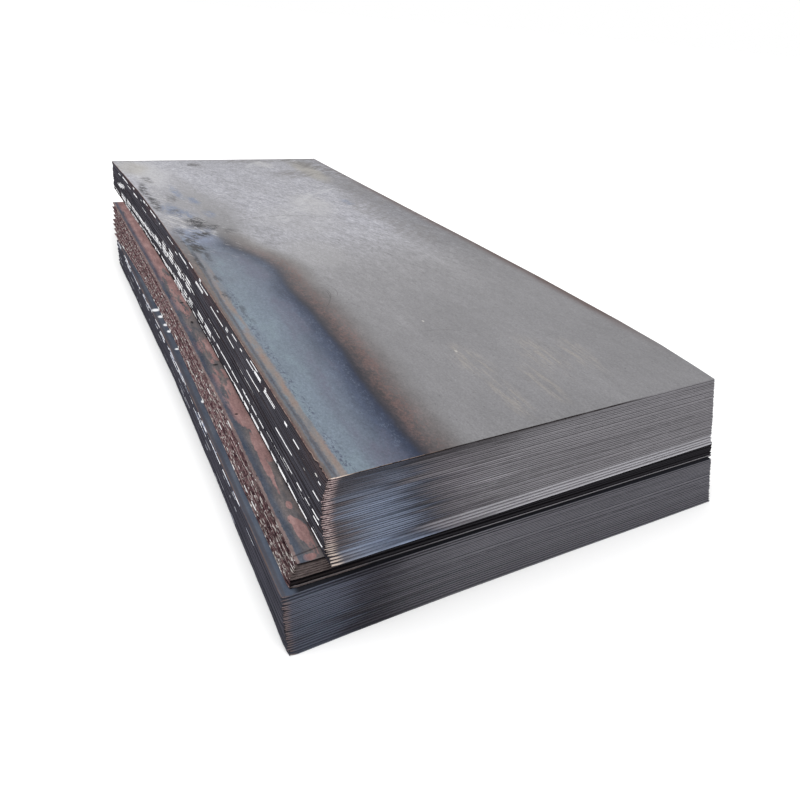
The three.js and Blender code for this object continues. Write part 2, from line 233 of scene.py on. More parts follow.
def plate_mesh(p, number, rng, notches=(), long_step=16.0, short_step=12.0):
    """One sheared plate: (vertices, faces, face sides, point values)."""
    t = p["thick"]
    y0, y1 = p["near"], p["far"]
    # the long edges share their stations, so that the broad faces are strips
    close = min(y0 + 1300, y1 - 400)
    ys = np.concatenate([np.linspace(y0, close, int((close - y0) / long_step * 1.6)), np.linspace(close, y1, int((y1 - close) / long_step * 0.8))[1:]])
    ys = np.sort(np.concatenate([ys, y0 + np.array([2.0, 5.0, 9.0, 22.0, 30.0]), y1 - np.array([2.0, 6.0])]))
    v = (ys - y0) / (y1 - y0)
    left = np.interp(v, [0, 0.25, 0.5, 0.75, 1], p["left"])
    right = np.full_like(left, p["right"])
    n = len(ys)
    span = right[0] - left[0]
    xn = np.linspace(0, span, int(span / short_step) + 1)
    xn = np.unique(np.concatenate([xn, [3.0, 6.0, 10.0, 15.0, 20.0, 26.0, 32.0], span - np.array([2.0, 6.0])]))
    # outline, anticlockwise from above, from the near left corner
    near_x = left[0] + xn
    near_y = (y0 - p["skew"]) + (2 * p["skew"]) * xn / span + p.get("bow", 0.0) * 6.75 * (xn / span) * (1 - xn / span) ** 2
    xf = np.linspace(right[-1], left[-1], int(span / 24) + 1)
    skew_l = -p["skew"] * np.clip(1 - (ys - y0) / 140.0, 0, 1)
    skew_r = p["skew"] * np.clip(1 - (ys - y0) / 140.0, 0, 1)
    pts = [(near_x, near_y, 1), (right[1:], (ys + skew_r)[1:], 2), (xf[1:], np.full(len(xf) - 1, y1), 3), (left[-2:0:-1], (ys + skew_l)[-2:0:-1], 0)]
    X = np.concatenate([a for a, _, _ in pts])
    Y = np.concatenate([b for _, b, _ in pts])
    # the side of each outline edge i -> i + 1
    a1 = len(near_x) - 1
    a2 = a1 + (n - 1)
    a3 = a2 + (len(xf) - 1)
    N = len(X)
    side = np.zeros(N, int)
    side[:a1] = 2
    side[a1:a2] = 3
    side[a2:a3] = 4
    side[a3:] = 1
    # outward normals, the mean of the two edges that meet
    ex, ey = np.roll(X, -1) - X, np.roll(Y, -1) - Y
    ln = np.hypot(ex, ey)
    nx, ny = ey / ln, -ex / ln
    ax, ay = nx + np.roll(nx, 1), ny + np.roll(ny, 1)
    ln = np.hypot(ax, ay)
    ax, ay = ax / ln, ay / ln
    # how much of a long edge (1) or an end (0) each point is
    long_edge = np.abs(ax) > 0.75
    s = np.concatenate([[0], np.cumsum(np.hypot(np.diff(X), np.diff(Y)))])
    # in-plane wander of the cut
    out = 0.3 * waves(s, 240, rng) + 0.15 * waves(s, 40, rng) + 0.08 * rng.uniform(-1, 1, N)
    out = np.where(long_edge & (X < 700), out + 0.9 * waves(s, 120, rng), out)
    # worn corner at the near left
    cl = 4.5 + 2.8 * rng.uniform(-1, 1)
    cs = 3.0 + 2.0 * rng.uniform(-1, 1)
    u_near = np.clip(1 - (X - left[0]) / 26.0, 0, 1)
    u_left = np.clip(1 - (Y - y0 + p["skew"]) / 26.0, 0, 1)
    on_near = side == 2
    on_near[a1] = True
    on_left = np.zeros(N, bool)
    on_left[a3:] = True
    PX = X + ax * out
    PY = Y + ay * out
    PY = PY + np.where(on_near, cl * u_near ** 1.5, 0)
    PX = PX + np.where(on_left | (np.arange(N) == 0), cs * u_left ** 1.5, 0)
    for start, end, deep in notches:
        ramp = np.clip((Y - start) / 3.0, 0, 1) * np.clip((end - Y) / 3.0, 0, 1)
        PX = PX + np.where(on_left, deep * ramp * rng.uniform(0.7, 1.2), 0)
    tip = np.where(on_near, np.clip(1 - (X - left[0]) / 34.0, 0, 1), 0)
    # section, from the upper face to the lower one: (inset, height) per ring
    rt = 0.42 + 0.16 * waves(s, 60, rng) + 0.08 * rng.uniform(-1, 1, N) + 0.8 * np.clip(tip * 2, 0, 1)
    rt = np.clip(rt, 0.2, 2.0)
    fr = 0.14 + 0.1 * waves(s, 30, rng)
    f2 = 0.25 + 0.15 * waves(s, 18, rng)
    rings_cut = [(rt, t + 0 * rt), (0.3 * rt, t - 0.35 * rt), (0 * rt, t - rt), (fr, 0.42 * t + 0 * rt), (f2, 0.12 * t + 0 * rt), (f2 + 0.25, 0 * rt)]
    bulge = t * (0.30 + 0.08 * waves(s, 90, rng))
    angles = np.radians([0, 38, 74, 106, 142, 180])
    rings_mill = [(bulge * (1 - math.sin(a)), t * (0.5 + 0.5 * math.cos(a)) + 0 * rt) for a in angles]
    verts, high, inx = [], [], []
    L = np.interp(Y, ys, left)
    for (dc, hc), (dm, hm) in zip(rings_cut, rings_mill):
        d = np.where(long_edge, dm, dc)
        h = np.where(long_edge, hm, hc)
        x = PX - ax * d
        y = PY - ay * d
        zz = (p["z"] + h) * (1 + rise(x, y))
        verts.append(np.stack([x, y, zz], 1))
        high.append(h / t)
        inx.append(x - L)
    K = len(verts)
    V = np.concatenate(verts)
    flash = np.where(long_edge, np.where(on_left, flash_at(Y, p["flash_left"]), flash_at(Y, p["flash_right"])), 0.0)
    faces, mats, smooth = [], [], []
    for k in range(K - 1):
        for i in range(N):
            j = (i + 1) % N
            faces.append((k * N + j, k * N + i, (k + 1) * N + i, (k + 1) * N + j))
            mats.append(int(side[i]))
            smooth.append(True)
    # the broad faces, as strips between the long edges
    r_of = [a1] + [a1 + k for k in range(1, n)]
    l_of = [0] + [N - k for k in range(1, n - 1)] + [a3]
    # the first strip takes in the whole of a bowed near end
    first = int(np.argmax(ys > y0 + p.get("bow", 0.0) + 1.0))
    for k, flip in ((0, False), (K - 1, True)):
        o = k * N
        strips = []
        strips.append([o + i for i in range(0, a1 + 1)] + [o + r_of[i] for i in range(1, first + 1)] + [o + l_of[i] for i in range(first, 0, -1)])
        for r in range(first, n - 2):
            strips.append([o + l_of[r], o + r_of[r], o + r_of[r + 1], o + l_of[r + 1]])
        strips.append([o + l_of[n - 2], o + r_of[n - 2]] + [o + i for i in range(a2, a3 + 1)])
        for f in strips:
            faces.append(tuple(reversed(f)) if flip else tuple(f))
            mats.append(0)
            smooth.append(False)
    V = (V + np.array(SHIFT)) / 1000.0
    return V, faces, mats, smooth, np.concatenate(high), np.concatenate(inx) / 1000.0, np.full(len(V), float(number)), np.tile(flash, K)


def build(name, plates, first, materials, rng_seed, notches=()):
    V, F, M, S, H, I, R, G = [], [], [], [], [], [], [], []
    base = 0
    for k, p in enumerate(plates):
        rng = np.random.RandomState(rng_seed + k)
        v, f, m, s, h, ix, r, fl = plate_mesh(p, first + k, rng, notches)
        V.append(v)
        F += [tuple(base + a for a in face) for face in f]
        M += m
        S += s
        H.append(h)
        I.append(ix)
        R.append(r)
        G.append(fl)
        base += len(v)
    mesh = bpy.data.meshes.new("look_" + name)
    mesh.from_pydata(np.concatenate(V).tolist(), [], F)
    for mat in materials:
        mesh.materials.append(mat)
    mesh.polygons.foreach_set("material_index", M)
    mesh.polygons.foreach_set("use_smooth", S)
    for key, values in (("high", H), ("inx", I), ("row", R), ("flash", G)):
        mesh.attributes.new(key, "FLOAT", "POINT").data.foreach_set("value", np.concatenate(values).astype(np.float32))
    mesh.update()
    o = bpy.data.objects.new("look_" + name, mesh)
    bpy.context.scene.collection.objects.link(o)
    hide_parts(name)
    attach(o, "root")
    return o


# ---------------------------------------------------------------- materials
def lin(c):
    c = c / 255.0
    return c / 12.92 if c <= 0.04045 else ((c + 0.055) / 1.055) ** 2.4


class Paint:
    """Builds one procedural material. gain is the light that falls on its
    surface, so that colours can be given as they should look."""

    def __init__(self, name, gain=1.0, spec=0.2):
        self.m = bpy.data.materials.new(name)
        self.m.use_nodes = True
        self.t = self.m.node_tree
        self.b = self.t.nodes["Principled BSDF"]
        self.b.inputs["Specular IOR Level"].default_value = spec
        self.gain = gain
        tc = self.new("ShaderNodeTexCoord")
        add = self.new("ShaderNodeVectorMath")
        add.operation = "ADD"
        add.inputs[1].default_value = (-SHIFT[0] / 1000, -SHIFT[1] / 1000, 0)
        self.link(tc.outputs["Object"], add.inputs[0])
        self.p = add.outputs[0]
        sep = self.new("ShaderNodeSeparateXYZ")
        self.link(self.p, sep.inputs[0])
        self.x, self.y, self.z = sep.outputs
        self.inx, self.row, self.high, self.flash = (self.attr(a) for a in ("inx", "row", "high", "flash"))

    def new(self, kind):
        return self.t.nodes.new(kind)

    def link(self, a, b):
        self.t.links.new(a, b)

    def put(self, v, socket):
        if isinstance(v, (int, float)):
            socket.default_value = v
        elif isinstance(v, tuple):
            socket.default_value = v
        else:
            self.link(v, socket)

    def attr(self, name):
        n = self.new("ShaderNodeAttribute")
        n.attribute_name = name
        return n.outputs["Fac"]

    def math(self, op, a, b=0.0, c=0.0, clamp=False):
        n = self.new("ShaderNodeMath")
        n.operation = op
        n.use_clamp = clamp
        for v, s in zip((a, b, c), n.inputs):
            self.put(v, s)
        return n.outputs[0]

    def add(self, a, b):
        return self.math("ADD", a, b)

    def sub(self, a, b):
        return self.math("SUBTRACT", a, b)

    def mul(self, a, b, *more):
        r = self.math("MULTIPLY", a, b)
        for m in more:
            r = self.math("MULTIPLY", r, m)
        return r

    def most(self, a, b):
        return self.math("MAXIMUM", a, b)

    def step(self, x, lo, hi, a=0.0, b=1.0):
        """a below lo, b above hi, smooth between."""
        n = self.new("ShaderNodeMapRange")
        n.interpolation_type = "SMOOTHSTEP"
        if lo > hi:
            lo, hi, a, b = hi, lo, b, a
        self.put(x, n.inputs[0])
        for v, k in zip((lo, hi, a, b), (1, 2, 3, 4)):
            n.inputs[k].default_value = v
        return n.outputs[0]

    def band(self, x, lo, hi, soft):
        """1 from lo to hi, 0 outside."""
        return self.mul(self.step(x, lo - soft, lo + soft), self.step(x, hi - soft, hi + soft, 1.0, 0.0))

    def vec(self, x, y, z):
        n = self.new("ShaderNodeCombineXYZ")
        for v, s in zip((x, y, z), n.inputs):
            self.put(v, s)
        return n.outputs[0]

    def noise(self, sx, sy, sz, detail=3.0, rough=0.5, at=(0.0, 0.0, 0.0), bend=0.0, vector=None):
        """Noise of size 1 / s along each axis, between 0 and 1."""
        m = self.new("ShaderNodeVectorMath")
        m.operation = "MULTIPLY_ADD"
        self.link(vector or self.p, m.inputs[0])
        m.inputs[1].default_value = (sx, sy, sz)
        m.inputs[2].default_value = at
        n = self.new("ShaderNodeTexNoise")
        self.link(m.outputs[0], n.inputs["Vector"])
        n.inputs["Scale"].default_value = 1.0
        n.inputs["Detail"].default_value = detail
        n.inputs["Roughness"].default_value = rough
        n.inputs["Distortion"].default_value = bend
        return n.outputs[0]

    def turned(self, dx, dy):
        """The place in axes turned so that the first runs along (dx, dy)."""
        out = []
        for v in ((dx, dy, 0.0), (-dy, dx, 0.0)):
            n = self.new("ShaderNodeVectorMath")
            n.operation = "DOT_PRODUCT"
            self.link(self.p, n.inputs[0])
            n.inputs[1].default_value = v
            out.append(n.outputs["Value"])
        return self.vec(out[0], out[1], 0.0)

    def by(self, vector, sx, sy):
        n = self.new("ShaderNodeVectorMath")
        n.operation = "MULTIPLY"
        self.link(vector, n.inputs[0])
        n.inputs[1].default_value = (sx, sy, 1.0)
        return n.outputs[0]

    def spot(self, vector, cx, cy, rx, ry, soft=0.45):
        """1 inside an oval, 0 outside, with a soft rim."""
        m = self.new("ShaderNodeVectorMath")
        m.operation = "MULTIPLY_ADD"
        self.link(vector, m.inputs[0])
        m.inputs[1].default_value = (1 / rx, 1 / ry, 0.0)
        m.inputs[2].default_value = (-cx / rx, -cy / ry, 0.0)
        n = self.new("ShaderNodeVectorMath")
        n.operation = "LENGTH"
        self.link(m.outputs[0], n.inputs[0])
        return self.step(n.outputs["Value"], 1 - soft, 1 + soft, 1.0, 0.0)

    def stroke(self, x0, y0, x1, y1, width):
        """1 on a thin line between two points, tapering at its ends."""
        length = math.hypot(x1 - x0, y1 - y0)
        dx, dy = (x1 - x0) / length, (y1 - y0) / length
        out = []
        for (a, b), c in (((dx, dy), x0 * dx + y0 * dy), ((-dy, dx), -x0 * dy + y0 * dx)):
            n = self.new("ShaderNodeVectorMath")
            n.operation = "DOT_PRODUCT"
            self.link(self.p, n.inputs[0])
            n.inputs[1].default_value = (a, b, 0.0)
            out.append(self.sub(n.outputs["Value"], c))
        u, v = out
        bow = self.mul(u, self.math("SUBTRACT", length, u), 0.5 / length)
        across = self.step(self.math("ABSOLUTE", self.sub(v, bow)), width, width * 0.3)
        return self.mul(across, self.band(u, 0.0, length, min(0.01, length / 6)))

    def dots(self, sx, sy, sz, at=(0.0, 0.0, 0.0), vector=None, jitter=1.0):
        """Distance to the nearest of scattered points."""
        m = self.new("ShaderNodeVectorMath")
        m.operation = "MULTIPLY_ADD"
        self.link(vector or self.p, m.inputs[0])
        m.inputs[1].default_value = (sx, sy, sz)
        m.inputs[2].default_value = at
        n = self.new("ShaderNodeTexVoronoi")
        self.link(m.outputs[0], n.inputs["Vector"])
        n.inputs["Scale"].default_value = 1.0
        n.inputs["Randomness"].default_value = jitter
        return n.outputs["Distance"]

    def tone(self, r, g, b):
        return tuple(max(0.002, lin(c) / self.gain) for c in (r, g, b)) + (1.0,)

    def mix(self, f, a, b, kind="MIX"):
        n = self.new("ShaderNodeMix")
        n.data_type = "RGBA"
        n.blend_type = kind
        self.put(f, n.inputs["Factor"])
        self.put(a, n.inputs[6])
        self.put(b, n.inputs[7])
        return n.outputs[2]

    def ramp(self, f, stops, smooth=False):
        """stops: (place, (r, g, b) as it should look)."""
        n = self.new("ShaderNodeValToRGB")
        e = n.color_ramp.elements
        n.color_ramp.interpolation = "EASE" if smooth else "LINEAR"
        e[0].position, e[1].position = stops[0][0], stops[-1][0]
        e[0].color, e[1].color = self.tone(*stops[0][1]), self.tone(*stops[-1][1])
        for at, c in stops[1:-1]:
            e.new(at).color = self.tone(*c)
        self.put(f, n.inputs[0])
        return n.outputs[0]

    def vary(self, colour, noise, amount):
        """The colour made up to amount lighter or darker by a noise."""
        return self.scale(colour, self.math("MULTIPLY_ADD", noise, 2.6 * amount, 1 - 1.3 * amount))

    def scale(self, colour, value):
        """The colour made lighter or darker by value."""
        n = self.new("ShaderNodeVectorMath")
        n.operation = "SCALE"
        self.put(colour, n.inputs[0])
        self.put(value, n.inputs["Scale"])
        return n.outputs[0]

    def curve(self, x, points):
        """A smooth curve through points (x, y)."""
        xs = [p[0] for p in points]
        ysv = [p[1] for p in points]
        x0, x1, lo, hi = min(xs), max(xs), min(ysv), max(ysv)
        u = self.math("DIVIDE", self.sub(x, x0), x1 - x0, clamp=True)
        n = self.new("ShaderNodeFloatCurve")
        c = n.mapping.curves[0]
        pts = [((a - x0) / (x1 - x0), (b - lo) / (hi - lo)) for a, b in points]
        c.points[0].location = pts[0]
        c.points[1].location = pts[-1]
        for q in pts[1:-1]:
            c.points.new(*q)
        n.mapping.update()
        self.link(u, n.inputs["Value"])
        return self.math("MULTIPLY_ADD", n.outputs[0], hi - lo, lo)

    def done(self, colour, rough, bump=None, strength=0.3, distance=0.0005, metal=0.0):
        self.link(colour, self.b.inputs["Base Color"])
        self.put(rough, self.b.inputs["Roughness"])
        self.b.inputs["Metallic"].default_value = metal
        if bump is not None:
            n = self.new("ShaderNodeBump")
            n.inputs["Strength"].default_value = strength
            n.inputs["Distance"].default_value = distance
            self.link(bump, n.inputs["Height"])
            self.link(n.outputs[0], self.b.inputs["Normal"])
        return self.m


TOP_GAIN = 1.72
FRONT_GAIN = 0.80
LEFT_GAIN = 1.30


def shade(v):
    """How bright a grey of v looks, beside one of 150."""
    return lin(v) / lin(150)


def skin_top():
    """The topmost plate's broad face: grey mill scale with a blue heat-tinted
    band along the near half of its left edge."""
    g = Paint("mill_scale_top", TOP_GAIN, 0.12)
    X, Y = g.x, g.y
    bend = g.math("MULTIPLY_ADD", g.noise(7, 5, 1, 4, 0.6, (1, 4, 0)), 0.08, -0.04)
    WX, WY = g.add(X, bend), g.add(Y, g.math("MULTIPLY_ADD", g.noise(8, 4, 1, 4, 0.6, (6, 1, 0)), 0.16, -0.08))
    at = g.vec(WX, WY, 0.0)
    turned = g.turned(0.47, -0.88)
    grain = g.noise(150, 110, 20, 3, 0.7, (1, 2, 3))
    fine = g.noise(300, 10, 1, 3, 0.6, (2, 5, 0))
    streak = g.noise(70, 1.8, 1, 4, 0.62, (9, 1, 0))
    cloud = g.noise(6, 2.6, 1, 5, 0.6, (3, 7, 0))
    # the plain scale: how light it is along the plate, darker to the right
    run = g.curve(Y, [(0.0, shade(143)), (0.15, shade(146)), (0.7, shade(148)), (1.0, shade(150)), (1.3, shade(156)), (1.6, shade(165)), (1.9, shade(174)), (2.5, shade(178)), (3.2, shade(175)), (4.0, shade(167))])
    base = g.ramp(cloud, [(0.35, (145, 144, 147)), (0.5, (150, 149, 152)), (0.65, (155, 154, 157))])
    base = g.mix(g.step(Y, 1.2, 2.2), base, g.ramp(cloud, [(0.35, (144, 144, 150)), (0.65, (154, 154, 161))]))
    base = g.scale(base, run)
    drop = g.mul(g.step(WX, 1.12, 1.40), g.step(Y, 0.8, 1.9, 0.06, 0.42), g.step(Y, 2.9, 3.5, 1.0, 0.45))
    base = g.scale(base, g.math("MULTIPLY_ADD", drop, -1.0, 1.0))
    lift = g.mul(g.step(WX, 0.15, 0.60, 1.0, 0.0), g.step(Y, 2.9, 3.5))
    base = g.scale(base, g.math("MULTIPLY_ADD", lift, 0.22, 1.0))
    # mottling, stronger towards the far end
    far = g.step(Y, 1.1, 2.4)
    mott = g.noise(1, 1, 1, 6, 0.66, (4.2, 0.7, 0), vector=g.by(turned, 5.0, 15.0))
    base = g.scale(base, g.add(1.0, g.mul(g.math("MULTIPLY_ADD", mott, 1.0, -0.5), g.step(Y, 1.1, 2.4, 0.20, 0.80))))
    fleece = g.noise(1, 1, 1, 5, 0.72, (1.2, 5.7, 0), vector=g.by(turned, 14.0, 48.0))
    base = g.scale(base, g.add(1.0, g.mul(g.math("MULTIPLY_ADD", fleece, 1.0, -0.5), g.step(Y, 0.8, 2.2, 0.18, 1.25))))
    speckle = g.noise(80, 26, 1, 4, 0.72, (6, 6, 2))
    base = g.scale(base, g.add(1.0, g.mul(g.math("MULTIPLY_ADD", speckle, 1.0, -0.5), g.step(Y, 0.6, 2.2, 0.32, 1.6))))
    base = g.vary(base, streak, 0.09)
    base = g.vary(base, fine, 0.07)
    # a few broad darker and lighter places in the far half
    for cx, cy, rx, ry, v, amount in (
            (0.24, 2.45, 0.22, 0.55, 150, 0.62), (0.30, 2.30, 0.06, 0.30, 138, 0.50), (0.28, 3.05, 0.05, 0.60, 158, 0.45),
            (0.72, 2.20, 0.22, 0.30, 184, 0.4), (0.14, 3.50, 0.10, 0.40, 202, 0.5), (0.60, 1.62, 0.14, 0.22, 178, 0.5),
            (0.92, 2.50, 0.12, 0.22, 196, 0.5), (1.0, 3.76, 0.07, 0.10, 192, 0.5), (1.30, 3.55, 0.07, 0.30, 172, 0.5)):
        base = g.mix(g.mul(g.spot(at, cx, cy, rx, ry), amount), base, g.tone(v, v - 1, v + 1))
    tans = g.most(g.spot(at, 1.27, 3.5, 0.08, 0.35), g.mul(g.spot(at, 0.05, 3.70, 0.09, 0.22), 0.8))
    base = g.mix(g.mul(tans, 0.5), base, g.tone(176, 170, 154))
    # a slanting bed of pale strokes, and dark slanting smudges at the far right
    slope = g.turned(0.80, 0.60)
    brush = g.noise(1, 1, 1, 6, 0.74, (2, 8, 3), vector=g.by(slope, 10.0, 46.0))
    for x0, y0, x1, y1, width, amount in ((0.84, 2.52, 1.26, 2.90, 0.050, 0.85), (0.62, 2.18, 0.90, 2.46, 0.060, 0.55), (0.86, 3.60, 1.02, 3.86, 0.045, 0.6)):
        base = g.mix(g.mul(g.stroke(x0, y0, x1, y1, width), g.step(brush, 0.46, 0.58), amount), base, g.tone(206, 206, 210))
    smear = g.noise(1, 1, 1, 6, 0.70, (8, 2, 5), vector=g.by(slope, 7.0, 30.0))
    for cx, cy, rx, ry, amount in ((1.14, 3.40, 0.16, 0.14, 0.75), (0.93, 3.88, 0.26, 0.07, 0.70), (1.30, 3.72, 0.10, 0.14, 0.7), (0.50, 3.76, 0.05, 0.08, 0.6), (1.22, 2.32, 0.10, 0.30, 0.5), (1.28, 1.85, 0.12, 0.25, 0.5), (1.36, 2.80, 0.10, 0.45, 0.5)):
        base = g.mix(g.mul(g.spot(at, cx, cy, rx, ry), g.step(smear, 0.40, 0.62, 0.15, 1.0), amount), base, g.tone(126, 123, 123))
    # dark slanting streaks at the far right
    slant = g.noise(1, 1, 1, 4, 0.62, (3, 1, 4), vector=g.by(slope, 7.0, 22.0))
    lane = g.step(g.math("ABSOLUTE", g.add(g.sub(WX, 1.40), g.mul(g.sub(Y, 3.55), 0.42))), 0.085, 0.045)
    blot = g.mul(g.most(g.mul(lane, g.step(slant, 0.40, 0.54)), g.mul(g.step(slant, 0.50, 0.58), g.step(WX, 1.25, 1.40), 0.7)), g.step(Y, 3.15, 3.35))
    base = g.mix(g.mul(blot, 0.70), base, g.tone(104, 101, 100))
    # brown fringe along the right edge
    d = g.sub(1.496, X)
    d = g.add(d, g.math("MULTIPLY_ADD", g.noise(9, 2.4, 1, 5, 0.62, (5, 5, 0)), 0.050, -0.025))
    fringe = g.mul(g.step(d, -0.010, 0.082, 1.0, 0.0), g.step(Y, 0.05, 0.60), g.step(Y, 3.4, 2.7, 0.5, 1.0))
    fringe = g.math("POWER", fringe, 1.4)
    base = g.mix(fringe, base, g.tone(94, 72, 68))
    rim = g.mul(g.step(g.add(Y, g.mul(cloud, 0.05)), 3.93, 3.985), 0.5)
    base = g.mix(rim, base, g.tone(128, 122, 120))
    # the heat-tinted band: how far in its dark border runs
    reach = g.curve(Y, [(-0.12, 0.292), (0.02, 0.283), (0.20, 0.285), (0.36, 0.290), (0.50, 0.308), (0.70, 0.320), (0.92, 0.329), (1.10, 0.325), (1.22, 0.323), (1.36, 0.338), (1.46, 0.341), (1.56, 0.325), (1.66, 0.294), (1.76, 0.252), (1.86, 0.222), (1.98, 0.210), (2.15, 0.175), (2.4, 0.05)])
    wander = g.math("MULTIPLY_ADD", g.noise(8, 3.4, 1, 5, 0.6, (2, 2, 1)), 0.030, -0.015)
    rough_edge = g.math("MULTIPLY_ADD", g.noise(60, 40, 1, 4, 0.7, (7, 7, 1)), 0.016, -0.008)
    u = g.add(g.add(g.sub(X, reach), wander), rough_edge)
    place = g.math("MULTIPLY_ADD", u, 2.5, 0.5, clamp=True)  # -0.2 to 0.2 m
    near_band = g.ramp(place, [
        (0.0, (128, 141, 155)), (0.20, (117, 127, 143)), (0.37, (75, 85, 107)), (0.46, (49, 58, 81)),
        (0.505, (55, 55, 65)), (0.585, (84, 78, 80)), (0.74, (122, 117, 118)), (1.0, (140, 140, 142))])
    far_band = g.ramp(place, [
        (0.0, (125, 134, 147)), (0.28, (113, 122, 138)), (0.45, (74, 82, 101)), (0.53, (80, 80, 89)),
        (0.66, (121, 115, 115)), (0.82, (144, 141, 141)), (1.0, (163, 162, 164))])
    tint = g.mix(g.step(Y, 0.95, 1.6), near_band, far_band)
    crumb = g.noise(110, 66, 1, 3, 0.72, (7, 2, 1))
    rosy = g.mul(g.band(u, 0.022, 0.090, 0.024), g.step(g.add(crumb, g.mul(g.noise(14, 5, 1, 3, 0.6, (2, 7, 1)), 0.5)), 0.64, 0.90), g.step(Y, 1.9, 1.5))
    tint = g.mix(g.mul(rosy, 0.62), tint, g.tone(126, 98, 94))
    tint = g.vary(tint, crumb, 0.26)
    patchy = g.noise(12, 4.5, 1, 5, 0.66, (3, 9, 0))
    inner = g.step(u, -0.19, -0.02, 1.0, 0.0)
    tint = g.scale(tint, g.add(1.0, g.mul(g.math("MULTIPLY_ADD", patchy, 1.0, -0.5), g.step(u, -0.16, -0.05, 0.42, 0.95))))
    violet = g.mul(g.band(u, -0.15, -0.05, 0.03), g.step(g.noise(9, 3, 1, 4, 0.6, (1, 9, 5)), 0.46, 0.60))
    violet = g.mul(violet, g.step(g.noise(90, 50, 1, 3, 0.7, (8, 9, 5)), 0.38, 0.60, 0.4, 1.0))
    tint = g.mix(g.mul(violet, 0.60), tint, g.tone(110, 109, 128))
    flick = g.mul(g.step(g.noise(120, 60, 1, 4, 0.74, (9, 2, 6)), 0.52, 0.64), g.step(u, 0.0, -0.03), g.step(patchy, 0.40, 0.55))
    tint = g.mix(g.mul(flick, 0.30), tint, g.tone(132, 146, 166))
    pale_blue = g.mul(g.step(u, -0.20, -0.13, 1.0, 0.0), g.step(g.noise(14, 6, 1, 5, 0.66, (5, 0, 3)), 0.48, 0.60))
    tint = g.mix(g.mul(pale_blue, 0.50), tint, g.tone(137, 154, 165))
    fade = g.step(g.add(Y, g.math("MULTIPLY_ADD", g.noise(12, 6, 1, 5, 0.65, (8, 1, 1)), 0.24, -0.12)), 1.90, 2.20, 1.0, 0.0)
    cover = g.mul(g.step(u, 0.10, 0.20, 1.0, 0.0), fade)
    base = g.mix(cover, base, tint)
    # a smoky rim to the band's far end
    smoke = g.mul(g.step(u, 0.02, 0.16, 1.0, 0.0), g.band(Y, 1.95, 2.30, 0.16), g.step(X, 0.10, 0.20))
    base = g.mix(g.mul(smoke, 0.6), base, g.tone(122, 121, 122))
    # the strips beside the left edge
    e = g.add(g.inx, g.math("MULTIPLY_ADD", g.noise(40, 5, 1, 5, 0.7, (4, 4, 4)), 0.018, -0.009))
    e = g.add(e, g.math("MULTIPLY_ADD", g.noise(180, 90, 1, 3, 0.75, (4, 8, 4)), 0.016, -0.008))
    middle = g.curve(Y, [(-0.1, 0.025), (1.0, 0.025), (1.25, 0.030), (1.55, 0.041), (2.2, 0.048)])
    k = g.sub(e, middle)
    along = g.step(Y, 1.65, 1.15)
    patch = g.noise(22, 5.5, 1, 4, 0.66, (1, 8, 2))
    tan = g.mul(g.band(g.add(k, g.mul(g.math("MULTIPLY_ADD", patch, 1.0, -0.5), 0.03)), 0.007, 0.033, 0.006), g.step(Y, 1.75, 1.1, 0.25, 1.0), g.step(patch, 0.36, 0.50, 0.25, 1.0), fade)
    base = g.mix(g.mul(tan, 0.92), base, g.ramp(g.noise(34, 9, 1, 4, 0.66, (9, 9, 1)), [(0.32, (128, 128, 132)), (0.5, (150, 138, 132)), (0.7, (158, 132, 120))]))
    rose = g.mul(g.step(k, -0.012, -0.005, 1.0, 0.0), g.step(Y, 2.5, 1.5))
    base = g.mix(g.mul(rose, 0.95), base, g.ramp(g.noise(60, 16, 1, 5, 0.72, (2, 7, 5)), [(0.3, (100, 93, 92)), (0.5, (119, 108, 104)), (0.68, (138, 119, 111))]))
    rust = g.mul(g.step(g.add(g.inx, g.math("MULTIPLY_ADD", g.noise(120, 40, 1, 4, 0.7, (3, 3, 2)), 0.012, -0.006)), 0.004, 0.010, 1.0, 0.0), g.step(Y, 2.2, 1.2))
    base = g.mix(g.mul(rust, 0.75), base, g.ramp(g.noise(120, 50, 1, 4, 0.7, (2, 4, 5)), [(0.35, (84, 66, 64)), (0.65, (126, 96, 90))]))
    line = g.mul(g.band(k, -0.0072, 0.0060, 0.006), g.step(Y, 2.0, 1.6), g.step(g.noise(20, 6, 1, 3, 0.6, (3, 8, 5)), 0.25, 0.45, 0.45, 1.0))
    base = g.mix(g.mul(line, 0.82), base, g.ramp(g.noise(60, 20, 1, 4, 0.7, (7, 3, 3)), [(0.35, (73, 71, 81)), (0.65, (98, 92, 96))]))
    # dark specks along the tan strip, smudges in the light blue
    speck = g.mul(g.step(g.noise(170, 80, 1, 2, 0.6, (6, 9, 8)), 0.50, 0.62), g.band(g.add(k, g.mul(g.math("MULTIPLY_ADD", patch, 1.0, -0.5), 0.03)), 0.036, 0.060, 0.010), g.step(g.noise(30, 8, 1, 2, 0.5, (6, 2, 8)), 0.34, 0.50), g.step(Y, 1.5, 1.2))
    base = g.mix(g.mul(speck, 0.75), base, g.tone(78, 82, 104))
    smudge = g.step(g.noise(70, 22, 1, 4, 0.7, (6, 5, 8)), 0.40, 0.56)
    for cx, cy, rx, ry, amount in ((0.058, 1.20, 0.012, 0.055, 0.8), (0.074, 1.42, 0.010, 0.05, 0.75), (0.082, 1.04, 0.010, 0.05, 0.55), (0.088, 0.94, 0.008, 0.04, 0.4), (0.10, 1.70, 0.018, 0.08, 0.8), (0.066, 1.86, 0.016, 0.09, 0.85), (0.040, 1.72, 0.012, 0.07, 0.7), (0.047, 1.56, 0.010, 0.06, 0.6)):
        base = g.mix(g.mul(g.spot(at, cx, cy, rx, ry), smudge, amount), base, g.tone(72, 74, 84))
